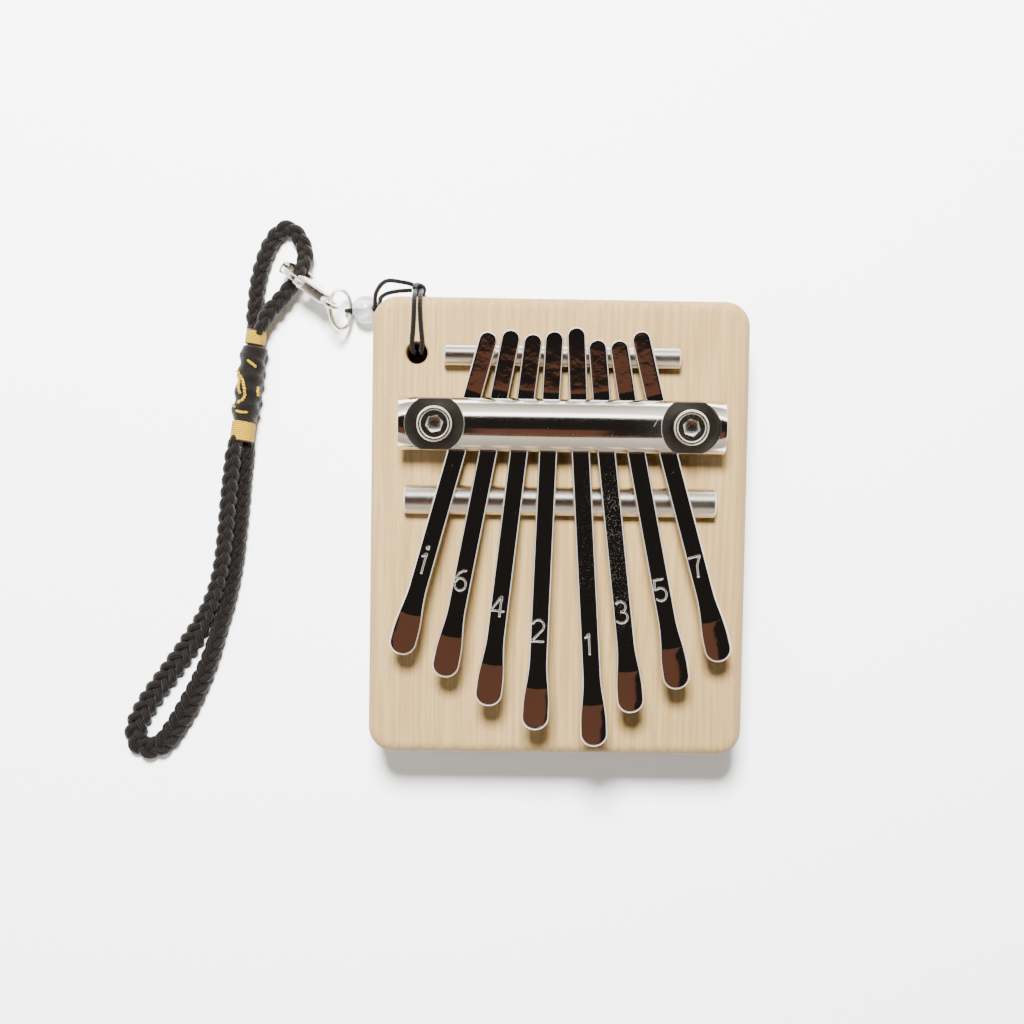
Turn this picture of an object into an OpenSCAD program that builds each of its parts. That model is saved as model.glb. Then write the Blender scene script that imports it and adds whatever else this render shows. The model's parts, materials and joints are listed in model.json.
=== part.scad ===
/* [Board] */
// Width of the wooden board across the tines
board_w = 75; // [70:0.5:80]
// Length of the board along the tines
board_l = 91; // [88:0.5:100]
// Thickness of the board
board_t = 18; // [15:0.5:22]
// Radius of the board's four upright corners
corner_r = 5; // [3:0.5:6]
// Radius that softens the board's top and bottom edges
edge_r = 2.5; // [1:0.25:3]

/* [Rods and press bar] */
// Diameter of the back rod under the tails
back_rod_d = 4.2; // [3.5:0.1:5]
// Length of the back rod
back_rod_l = 46.5; // [44:0.5:50]
// Diameter of the front rod, the bridge under the tongues
front_rod_d = 5.8; // [5:0.1:6]
// Length of the front rod
front_rod_l = 61.5; // [58:0.5:66]
// Radius of the half-round press bar
bar_r = 5.3; // [5:0.1:6]
// Length of the press bar
bar_l = 63.5; // [62:0.5:68]
// Distance between the two clamp screws
screw_gap = 49.4; // [48:0.2:51]

/* [Tines] */
// Width of a tine's straight strip
tine_w = 3.7; // [3.2:0.05:3.8]
// Width of the round spoon at the playing end
spoon_w = 5.3; // [4.5:0.1:6]
// Thickness of the spring steel strip
tine_t = 1; // [0.7:0.05:1.2]
// Upward slope of the tongues in degrees
tine_rise = 8; // [6:0.5:9]
// Upward slope of the tails in degrees
tail_rise = 8; // [6:0.5:9]
// Downward bend of the spoons from the tongues' slope in degrees
spoon_bend = 18; // [8:1:24]

/* [Lanyard] */
// Diameter of the thin cord through the board
cord_d = 0.9; // [0.7:0.05:1]
// Diameter of the braided strap
strap_d = 3; // [2.6:0.1:3.1]
// Diameter of the clear bead
bead_d = 5.8; // [5:0.1:5.8]
// Wire diameter of the jump ring
ring_wire = 0.9; // [0.7:0.05:1]

/* [Hidden] */

// Heights: the bar presses the strips down between the two rods, so that they are level
// under it and rise from there over each rod.
rod_sink = 0.2;
fit = 0.03;
back_rod_y = 34;
bridge_y = 5.5;
bar_y = 20.4;
tail_bend_y = 27.4;
bend_y = 13.4;
back_rod_z = board_t - rod_sink + back_rod_d / 2;
strip_z = back_rod_z + back_rod_d / 2 - (back_rod_y - tail_bend_y) * tan(tail_rise);
bar_z = strip_z + tine_t + fit;
bridge_z = strip_z + (bend_y - bridge_y) * tan(tine_rise) - front_rod_d / 2;

// Screws: M4 socket heads in round pockets of the bar, into threaded inserts.
screw_d = 4;
head_d = 7;
head_h = 4;
hex_across = 3;
pocket_r = 5.7;
pocket_z = bar_z + 1.8;
bar_hole_r = 2.15;
insert_r = 3;
insert_h = 9;
insert_sink = 0.5;

// Tines: where each tail and each tip ends, [tail x, tail y, tip x, tip y].
tine_ends = [
    [-14.2, 38.3, -31.0, -24.6],
    [-9.9, 38.8, -22.4, -28.9],
    [-5.7, 38.1, -13.8, -34.3],
    [-1.7, 38.7, -4.5, -38.8],
    [2.4, 39.5, 7.2, -41.8],
    [6.5, 37.2, 14.4, -35.3],
    [10.6, 37.1, 23.5, -30.6],
    [14.7, 38.9, 31.8, -25.2]
];
// The sloping parts stay clear of the rods by the slide's room, and the strip flexes a
// little past the bridge.
slide_room = 0.16;
flex_share = 0.15;
knuckle_r = 0.45;
knuckle_gap = 0.03;
knuckle_lip = 0.06;
spoon_l = 8.6;
flare_l = 14;
far = 200;

// Cord hole near the top left corner, with a shallow groove under it.
hole_x = -28.6;
hole_y = 34.2;
hole_r = 2.1;
groove_w = 3;
groove_h = 1.1;

// ---------- shared shapes ----------

module rounded_slab(w, l, h, r, e) {
    // A slab whose four upright corners have radius r and whose rims have radius e.
    for (x = [-1, 1], y = [-1, 1])
        translate([x * (w / 2 - r), y * (l / 2 - r), 0])
            rotate_extrude($fn = 64)
                rim_profile(r, h, e);
    translate([-w / 2 + r, -l / 2, 0])
        rim_run(w - 2 * r, l, h, e);
    translate([w / 2, -l / 2 + r, 0])
        rotate([0, 0, 90])
            rim_run(l - 2 * r, w, h, e);
}

module rim_profile(r, h, e) {
    // Half of a section through a rounded corner post.
    translate([0, e])
        square([r, h - 2 * e]);
    square([r - e, h]);
    translate([r - e, e])
        circle(e, $fn = 48);
    translate([r - e, h - e])
        circle(e, $fn = 48);
}

module rim_run(run, depth, h, e) {
    // A straight run along X with rounded long rims, from y = 0 to y = depth.
    rotate([90, 0, 90])
        linear_extrude(run)
            round_section(depth, h, e);
}

module round_section(depth, h, e) {
    translate([e, 0])
        square([depth - 2 * e, h]);
    translate([0, e])
        square([depth, h - 2 * e]);
    for (x = [e, depth - e], y = [e, h - e])
        translate([x, y])
            circle(e, $fn = 48);
}

module rod_x(d, l, y, z) {
    // A rod along X with small chamfers.
    chamfer = 0.3;
    translate([-l / 2, y, z])
        rotate([0, 90, 0])
            rotate_extrude($fn = 64)
                polygon([
                    [0, 0], [d / 2 - chamfer, 0], [d / 2, chamfer],
                    [d / 2, l - chamfer], [d / 2 - chamfer, l], [0, l]
                ]);
}

// ---------- board and clamp ----------

module board() {
    color("burlywood")
        difference() {
            rounded_slab(board_w, board_l, board_t, corner_r, edge_r);
            // seats of the two rods
            seat(back_rod_d, back_rod_l, back_rod_y, back_rod_z);
            seat(front_rod_d, front_rod_l, bridge_y, bridge_z);
            // pockets of the threaded inserts
            for (x = [-1, 1])
                translate([x * screw_gap / 2, bar_y, board_t - insert_h - insert_sink - 2])
                    cylinder(r = insert_r, h = far, $fn = 48);
            // cord hole and the groove that lets the cord pass under the board
            translate([hole_x, hole_y, -1])
                cylinder(r = hole_r, h = board_t + 2, $fn = 48);
            translate([hole_x - groove_w / 2, hole_y, -1])
                cube([groove_w, board_l, groove_h + 1]);
        }
}

module seat(d, l, y, z) {
    translate([-l / 2 - 0.1, y, z])
        rotate([0, 90, 0])
            cylinder(d = d + 2 * fit, h = l + 0.2, $fn = 64);
}

module screw_inserts() {
    color("goldenrod")
        for (x = [-1, 1])
            translate([x * screw_gap / 2, bar_y, board_t - insert_h - insert_sink])
                difference() {
                    cylinder(r = insert_r, h = insert_h, $fn = 48);
                    translate([0, 0, -1])
                        cylinder(d = screw_d, h = insert_h + 2, $fn = 48);
                }
}

module press_bar() {
    color("silver")
        difference() {
            translate([-bar_l / 2, bar_y, bar_z])
                rotate([90, 0, 90])
                    linear_extrude(bar_l)
                        intersection() {
                            circle(bar_r, $fn = 96);
                            translate([-bar_r, 0])
                                square([2 * bar_r, bar_r]);
                        }
            for (x = [-1, 1])
                translate([x * screw_gap / 2, bar_y, 0]) {
                    translate([0, 0, pocket_z])
                        cylinder(r = pocket_r, h = far, $fn = 64);
                    cylinder(r = bar_hole_r, h = far, $fn = 48);
                }
        }
}

module clamp_screws() {
    color("gainsboro")
        for (x = [-1, 1])
            translate([x * screw_gap / 2, bar_y, 0])
                clamp_screw();
}

module clamp_screw() {
    tip_z = board_t - insert_h - insert_sink + 1;
    recess = 2;
    rim = 0.4;
    difference() {
        union() {
            translate([0, 0, tip_z])
                cylinder(d = screw_d, h = pocket_z - tip_z + 1, $fn = 48);
            translate([0, 0, pocket_z])
                cylinder(d = head_d, h = head_h - rim, $fn = 48);
            translate([0, 0, pocket_z + head_h - rim])
                cylinder(d1 = head_d, d2 = head_d - 2 * rim, h = rim, $fn = 48);
        }
        translate([0, 0, pocket_z + head_h - recess])
            cylinder(d = hex_across / cos(30), h = recess + 1, $fn = 6);
    }
}

module back_rod() {
    color("silver")
        rod_x(back_rod_d, back_rod_l, back_rod_y, back_rod_z);
}

module front_rod() {
    color("silver")
        rod_x(front_rod_d, front_rod_l, bridge_y, bridge_z);
}

// ---------- tines ----------
// Each tine is drawn lying along +X from its tail, then turned into place.

function tine_length(e) = norm([e[2] - e[0], e[3] - e[1]]);
function tine_turn(e) = atan2(e[3] - e[1], e[2] - e[0]);
// how far along the tine its centre line crosses a height in Y
function along_at(e, y) = (e[1] - y) / (e[1] - e[3]) * tine_length(e);
function flex_at(e) =
    along_at(e, bridge_y) + flex_share * (tine_length(e) - along_at(e, bridge_y));
function bend_at(e) = along_at(e, bend_y);
// height of the tongue's underside above the level stretch
function rise_height(e, at) = (at - bend_at(e)) * tan(tine_rise) + slide_room;

module tine_plan(e) {
    // Outline seen from above: round tail, straight strip, flare and round spoon.
    l = tine_length(e);
    translate([tine_w / 2, 0])
        circle(tine_w / 2, $fn = 48);
    polygon([
        [tine_w / 2, -tine_w / 2], [l - flare_l, -tine_w / 2],
        [l - spoon_l, -spoon_w / 2 + 0.25], [l - spoon_w / 2 - 2.5, -spoon_w / 2],
        [l - spoon_w / 2, -spoon_w / 2], [l - spoon_w / 2, spoon_w / 2],
        [l - spoon_w / 2 - 2.5, spoon_w / 2], [l - spoon_l, spoon_w / 2 - 0.25],
        [l - flare_l, tine_w / 2], [tine_w / 2, tine_w / 2]
    ]);
    translate([l - spoon_w / 2, 0])
        circle(spoon_w / 2, $fn = 48);
}

module tine_side(e) {
    // Outline seen from the side: the tail slopes down to the level stretch under the bar,
    // the tongue rises, and the spoon droops.
    l = tine_length(e);
    k = along_at(e, tail_bend_y);
    b = bend_at(e);
    s = l - spoon_l;
    tail = k * tan(tail_rise) + slide_room;
    crease = rise_height(e, s);
    tip = crease - spoon_l * tan(spoon_bend - tine_rise);
    polygon([
        [0, tail], [k, slide_room], [k + 1, 0], [b - 1, 0], [b, slide_room],
        [s, crease], [l, tip], [l, tip + tine_t], [s, crease + tine_t],
        [b, slide_room + tine_t], [b - 1, tine_t], [k + 1, tine_t],
        [k, slide_room + tine_t], [0, tail + tine_t]
    ]);
}

module flex_place(e) {
    // The flexing point in the side view, turned with the tongue's slope.
    translate([flex_at(e), rise_height(e, flex_at(e)) + tine_t / 2])
        rotate(tine_rise)
            children();
}

module shank_side(e) {
    difference() {
        tine_side(e);
        flex_place(e)
            translate([0, -far / 2])
                square(far);
    }
    flex_place(e)
        circle(knuckle_r, $fn = 48);
}

module tongue_side(e) {
    difference() {
        tine_side(e);
        flex_place(e)
            translate([knuckle_lip - far, -far / 2])
                square(far);
        flex_place(e)
            circle(knuckle_r + knuckle_gap, $fn = 48);
    }
}

module tine_place(e) {
    // The part of the strip that has the child's outline from the side.
    translate([e[0], e[1], strip_z])
        rotate([0, 0, tine_turn(e)])
            intersection() {
                linear_extrude(40)
                    tine_plan(e);
                rotate([90, 0, 0])
                    translate([0, 0, -10])
                        linear_extrude(20)
                            children();
            }
}

module tine_shank(i) {
    tine_place(tine_ends[i])
        shank_side(tine_ends[i]);
}

module tine_tongue(i) {
    tine_place(tine_ends[i])
        tongue_side(tine_ends[i]);
}

module tine_c1high_shank() { color("dimgray") tine_shank(0); }
module tine_a6_shank() { color("dimgray") tine_shank(1); }
module tine_f4_shank() { color("dimgray") tine_shank(2); }
module tine_d2_shank() { color("dimgray") tine_shank(3); }
module tine_c1_shank() { color("dimgray") tine_shank(4); }
module tine_e3_shank() { color("dimgray") tine_shank(5); }
module tine_g5_shank() { color("dimgray") tine_shank(6); }
module tine_b7_shank() { color("dimgray") tine_shank(7); }
module tine_c1high_tongue() { color("gray") tine_tongue(0); }
module tine_a6_tongue() { color("gray") tine_tongue(1); }
module tine_f4_tongue() { color("gray") tine_tongue(2); }
module tine_d2_tongue() { color("gray") tine_tongue(3); }
module tine_c1_tongue() { color("gray") tine_tongue(4); }
module tine_e3_tongue() { color("gray") tine_tongue(5); }
module tine_g5_tongue() { color("gray") tine_tongue(6); }
module tine_b7_tongue() { color("gray") tine_tongue(7); }

// ---------- swept cords ----------

function unit(v) = v / norm(v);
// the direction of a route at one of its points
function heading(p, i) =
    i == 0 ? unit(p[1] - p[0]) :
    i == len(p) - 1 ? unit(p[i] - p[i - 1]) :
    unit(unit(p[i + 1] - p[i]) + unit(p[i] - p[i - 1]));
// carry a sideways direction along a route without twisting it
function carried(p, start, i) =
    i == 0 ? unit(start - (start * heading(p, 0)) * heading(p, 0)) :
    let (s = carried(p, start, i - 1), h = heading(p, i)) unit(s - (s * h) * h);
function cord_ring(p, start, r, i, n) =
    let (h = heading(p, i), s = carried(p, start, i), t = cross(h, s))
    [for (k = [0:n - 1]) p[i] + r * (cos(360 * k / n) * s + sin(360 * k / n) * t)];

module cord_tube(p, d, start, n = 8) {
    // A tube with n sides through the points of p.
    m = len(p);
    rings = [for (i = [0:m - 1]) each cord_ring(p, start, d / 2, i, n)];
    sides = [for (i = [0:m - 2], k = [0:n - 1])
        [i * n + k, i * n + (k + 1) % n, (i + 1) * n + (k + 1) % n, (i + 1) * n + k]];
    first = [for (k = [0:n - 1]) n - 1 - k];
    last = [for (k = [0:n - 1]) (m - 1) * n + k];
    polyhedron(rings, [for (f = concat([first], sides, [last])) [for (k = [len(f) - 1:-1:0]) f[k]]]);
}

// Thin cord: both strands run from the knot over the board's edge, along its face,
// down the hole and back under the board. The left one goes on through the bead,
// round the ring's wire and back to the knot.
left_route = [
    [-29.3, 47.2, 12.0], [-29.3, 46.5, 14.0], [-29.3, 46.1, 15.8], [-29.3, 45.5, 17.2],
    [-29.3, 44.4, 18.2], [-29.3, 43.0, 18.55], [-29.4, 39.8, 18.52], [-29.6, 36.9, 18.52],
    [-29.6, 35.7, 18.45], [-29.5, 34.9, 17.6], [-29.4, 34.6, 16.0], [-29.3, 34.6, 9.0],
    [-29.3, 34.7, 2.4], [-29.3, 35.2, 0.9], [-29.3, 36.0, 0.52], [-29.3, 40.0, 0.5],
    [-29.3, 45.0, 0.5], [-29.3, 45.9, 0.9], [-29.3, 46.3, 2.2], [-29.3, 46.4, 6.0],
    [-29.1, 46.9, 9.6], [-28.9, 47.5, 10.8], [-30.2, 48.3, 11.3], [-32.2, 48.7, 11.6],
    [-34.8, 49.0, 10.8], [-36.4, 48.3, 9.5], [-37.6, 46.6, 7.6], [-37.9, 44.9, 5.8],
    [-38.3, 44.0, 4.6], [-40.2, 43.7, 3.4], [-41.9, 43.5, 2.6], [-43.1, 43.5, 2.66],
    [-43.85, 43.5, 2.35], [-44.13, 43.5, 1.6], [-43.85, 43.5, 0.85], [-43.1, 43.5, 0.52],
    [-42.3, 43.5, 0.65], [-41.4, 43.5, 1.4], [-39.6, 43.6, 2.6], [-37.7, 43.8, 3.7],
    [-36.9, 44.7, 5.3], [-36.6, 45.8, 7.2], [-35.2, 46.6, 8.7], [-33.0, 47.0, 9.8],
    [-31.4, 47.1, 10.2], [-30.1, 47.2, 10.2]
];
right_route = [
    [-28.1, 47.2, 12.0], [-28.1, 46.5, 14.0], [-28.1, 46.1, 15.8], [-28.1, 45.5, 17.2],
    [-28.1, 44.4, 18.2], [-28.1, 43.0, 18.55], [-27.9, 39.8, 18.52], [-27.6, 36.9, 18.52],
    [-27.6, 35.7, 18.45], [-27.7, 34.9, 17.6], [-27.8, 34.6, 16.0], [-27.9, 34.6, 9.0],
    [-27.9, 34.7, 2.4], [-27.9, 35.2, 0.9], [-27.9, 36.0, 0.52], [-27.9, 40.0, 0.5],
    [-27.9, 45.0, 0.5], [-27.9, 45.9, 0.9], [-27.9, 46.3, 2.2], [-27.9, 46.4, 6.0],
    [-28.0, 47.0, 9.6]
];

module cord_strand_left() {
    color("black")
        cord_tube(left_route, cord_d, [1, 0, 0]);
}

module cord_strand_right() {
    color("black")
        cord_tube(right_route, cord_d, [1, 0, 0]);
}

module cord_knot() {
    knot_r = 1.5;
    color("black")
        translate([-28.7, 47.3, 9.8]) {
            cylinder(r = knot_r, h = 2.4, $fn = 32);
            sphere(knot_r, $fn = 32);
            translate([0, 0, 2.4])
                sphere(knot_r, $fn = 32);
        }
}

// ---------- bead and jump ring ----------
bead_at = [-39.9, 43.7, 3.0];
bead_bore_turn = 9;
bead_bore_tilt = 57;
bead_bore_r = 1.25;
ring_at = [-44.9, 43.5, 5.2];
ring_r = 4.05;
ring_tilt = 63;

module clear_bead() {
    color("white", 0.6)
        translate(bead_at)
            difference() {
                sphere(d = bead_d, $fn = 48);
                rotate([0, 0, bead_bore_turn])
                    rotate([0, bead_bore_tilt, 0])
                        cylinder(r = bead_bore_r, h = far, center = true, $fn = 32);
            }
}

module jump_ring() {
    color("silver")
        translate(ring_at)
            rotate([0, ring_tilt, 0])
                rotate_extrude($fn = 64)
                    translate([ring_r, 0])
                        circle(d = ring_wire, $fn = 24);
}

// ---------- lobster clasp ----------
// Drawn flat with its eye at the origin and its hook along +X, then turned into place.
eye_at = [-46.9, 44.5, 8.6];
clasp_turn = 140.5;
clasp_drop = 24.5;
clasp_roll = 75;
clasp_t = 2.5;
eye_t = 1.1;
eye_r = 2.05;
eye_bore_r = 1.2;
hook_x = 9.8;
hook_r = 4;
throat_r = 2.55;
rivet_at = [6.9, 1.9];
rivet_r = 0.45;
gate_t = 1.2;
gate_reach = 5.2;
gate_gap = 0.08;
spring_at = [3.6, 0.75];
spring_l = 2.3;
spring_r = 0.4;
spring_wire = 0.2;
spring_turns = 5;

module clasp_place() {
    translate(eye_at)
        rotate([0, 0, clasp_turn])
            rotate([0, clasp_drop, 0])
                rotate([clasp_roll, 0, 0])
                    children();
}

module plate(t) {
    linear_extrude(t, center = true)
        children();
}

module clasp_outline() {
    translate([hook_x, 0])
        circle(hook_r, $fn = 64);
    circle(eye_r, $fn = 48);
    polygon([[0, -1.6], [3, -1.7], [7.6, -3.3], [7.6, 3.3], [3, 1.7], [0, 1.6]]);
}

module gate_zone(reach, out) {
    // The part of the hook's rim that the gate closes.
    intersection() {
        translate([hook_x, 0])
            circle(hook_r + out, $fn = 64);
        translate(rivet_at)
            circle(reach, $fn = 64);
        translate([rivet_at[0], 0.9])
            square([10, 10]);
    }
}

module clasp_body() {
    color("lightgray")
        clasp_place()
            difference() {
                plate(clasp_t)
                    clasp_outline();
                // throat for the strap and bore of the eye
                translate([hook_x, 0, -5])
                    cylinder(r = throat_r, h = 10, $fn = 64);
                translate([0, 0, -5])
                    cylinder(r = eye_bore_r, h = 10, $fn = 48);
                // the eye is thinner than the hook
                for (z = [eye_t / 2, -eye_t / 2 - 5])
                    translate([-5, -5, z])
                        cube([7.2, 10, 5]);
                // gap that the gate closes, and the slot that holds its root
                plate(10)
                    intersection() {
                        gate_zone(gate_reach + gate_gap, 1);
                        translate([rivet_at[0] + 1.1, -10])
                            square([20, 20]);
                    }
                plate(gate_t + 0.2)
                    intersection() {
                        translate([rivet_at[0] - 1.3, rivet_at[1] - 1.3])
                            square([10, 10]);
                        translate(rivet_at)
                            circle(gate_reach + gate_gap, $fn = 64);
                    }
                // blind bore of the spring, which opens into the gate's slot
                translate([spring_at[0], spring_at[1], 0])
                    rotate([0, 90, 0])
                        cylinder(r = spring_r + 0.08, h = spring_l + 0.4, $fn = 32);
                // bore of the rivet
                translate([rivet_at[0], rivet_at[1], -5])
                    cylinder(r = rivet_r, h = 10, $fn = 32);
            }
}

module clasp_gate() {
    color("silver")
        clasp_place()
            difference() {
                plate(gate_t)
                    union() {
                        difference() {
                            gate_zone(gate_reach, 0);
                            translate([hook_x, 0])
                                circle(throat_r + 0.1, $fn = 64);
                        }
                        translate(rivet_at)
                            circle(1.1, $fn = 32);
                    }
                translate([rivet_at[0], rivet_at[1], -5])
                    cylinder(r = rivet_r + 0.05, h = 10, $fn = 32);
            }
}

module clasp_rivet() {
    color("gray")
        clasp_place()
            translate([rivet_at[0], rivet_at[1], 0])
                cylinder(r = rivet_r, h = clasp_t + 0.2, center = true, $fn = 32);
}

// Points of the spring's wire: it lies along +X from the bottom of its bore.
function spring_route() =
    let (steps = 12 * spring_turns, mid_r = spring_r - spring_wire / 2)
    [for (i = [0:steps])
        [
            spring_at[0] + spring_wire / 2 + (spring_l - spring_wire) * i / steps,
            spring_at[1] + mid_r * cos(30 * i),
            mid_r * sin(30 * i)
        ]];

module clasp_spring() {
    color("silver")
        clasp_place()
            cord_tube(spring_route(), spring_wire, [1, 0, 0], 6);
}

// ---------- strap ----------
band_z = 3;
band_top = [-62.4, 39.2];
band_turn = 7.4;
upper_band = [2.1, 3.2];
knot_band = [2.85, 16.2];
lower_band = [2.5, 3.8];

module band(size, offset) {
    // A wrapped band along the strap: size is its radius and its length.
    soft = 0.35;
    translate([band_top[0], band_top[1], band_z])
        rotate([0, 0, -band_turn])
            translate([0, -offset, 0])
                rotate([90, 0, 0])
                    rotate_extrude($fn = 48)
                        polygon([
                            [0, 0], [size[0] - soft, 0], [size[0], soft],
                            [size[0], size[1] - soft], [size[0] - soft, size[1]], [0, size[1]]
                        ]);
}

module upper_thread_band() { color("gold") band(upper_band, 0); }
module wrapped_knot() { color("black") band(knot_band, upper_band[1]); }
module lower_thread_band() { color("gold") band(lower_band, upper_band[1] + knot_band[1]); }

top_route = [
    [-63.4, 39.4, 1.9], [-63.0, 43.5, 1.7], [-62.6, 48.0, 1.6], [-61.6, 52.6, 1.6],
    [-59.8, 57.2, 1.6], [-57.6, 59.8, 1.6], [-55.6, 60.0, 1.6], [-53.6, 57.8, 1.6],
    [-52.6, 54.8, 2.4], [-52.9, 52.4, 3.7], [-53.8, 50.2, 4.5], [-55.2, 48.2, 4.1],
    [-57.6, 45.2, 4.0], [-60.0, 42.4, 4.2], [-61.3, 39.7, 4.3]
];

wrist_route = [
    [-66.6, 15.8, 4.3], [-67.3, 10.0, 4.3], [-68.0, 3.0, 4.3], [-68.6, -4.0, 4.2],
    [-69.7, -11.5, 3.8], [-72.0, -18.5, 2.8], [-75.8, -25.6, 1.7], [-80.4, -32.4, 1.6],
    [-84.6, -38.4, 1.6], [-87.2, -43.6, 1.6], [-87.2, -47.0, 1.6], [-85.0, -48.6, 1.6],
    [-81.8, -47.6, 1.6], [-78.6, -43.2, 1.6], [-75.2, -37.0, 1.6], [-72.2, -30.0, 1.6],
    [-70.0, -23.0, 1.6], [-68.1, -16.0, 1.6], [-66.8, -9.0, 1.6], [-66.0, -2.0, 1.6],
    [-65.4, 5.0, 1.6], [-64.9, 11.0, 1.7], [-64.3, 15.5, 1.8]
];

module strap_top_loop() {
    color("black")
        cord_tube(top_route, strap_d, [0, 0, 1]);
}

module strap_wrist_loop() {
    color("black")
        cord_tube(wrist_route, strap_d, [0, 0, 1]);
}

board();
screw_inserts();
press_bar();
clamp_screws();
back_rod();
front_rod();
tine_c1high_shank();
tine_a6_shank();
tine_f4_shank();
tine_d2_shank();
tine_c1_shank();
tine_e3_shank();
tine_g5_shank();
tine_b7_shank();
tine_c1high_tongue();
tine_a6_tongue();
tine_f4_tongue();
tine_d2_tongue();
tine_c1_tongue();
tine_e3_tongue();
tine_g5_tongue();
tine_b7_tongue();
cord_strand_left();
cord_strand_right();
cord_knot();
clear_bead();
jump_ring();
clasp_body();
clasp_gate();
clasp_rivet();
clasp_spring();
strap_top_loop();
strap_wrist_loop();
upper_thread_band();
wrapped_knot();
lower_thread_band();
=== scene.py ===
import json
import math

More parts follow.
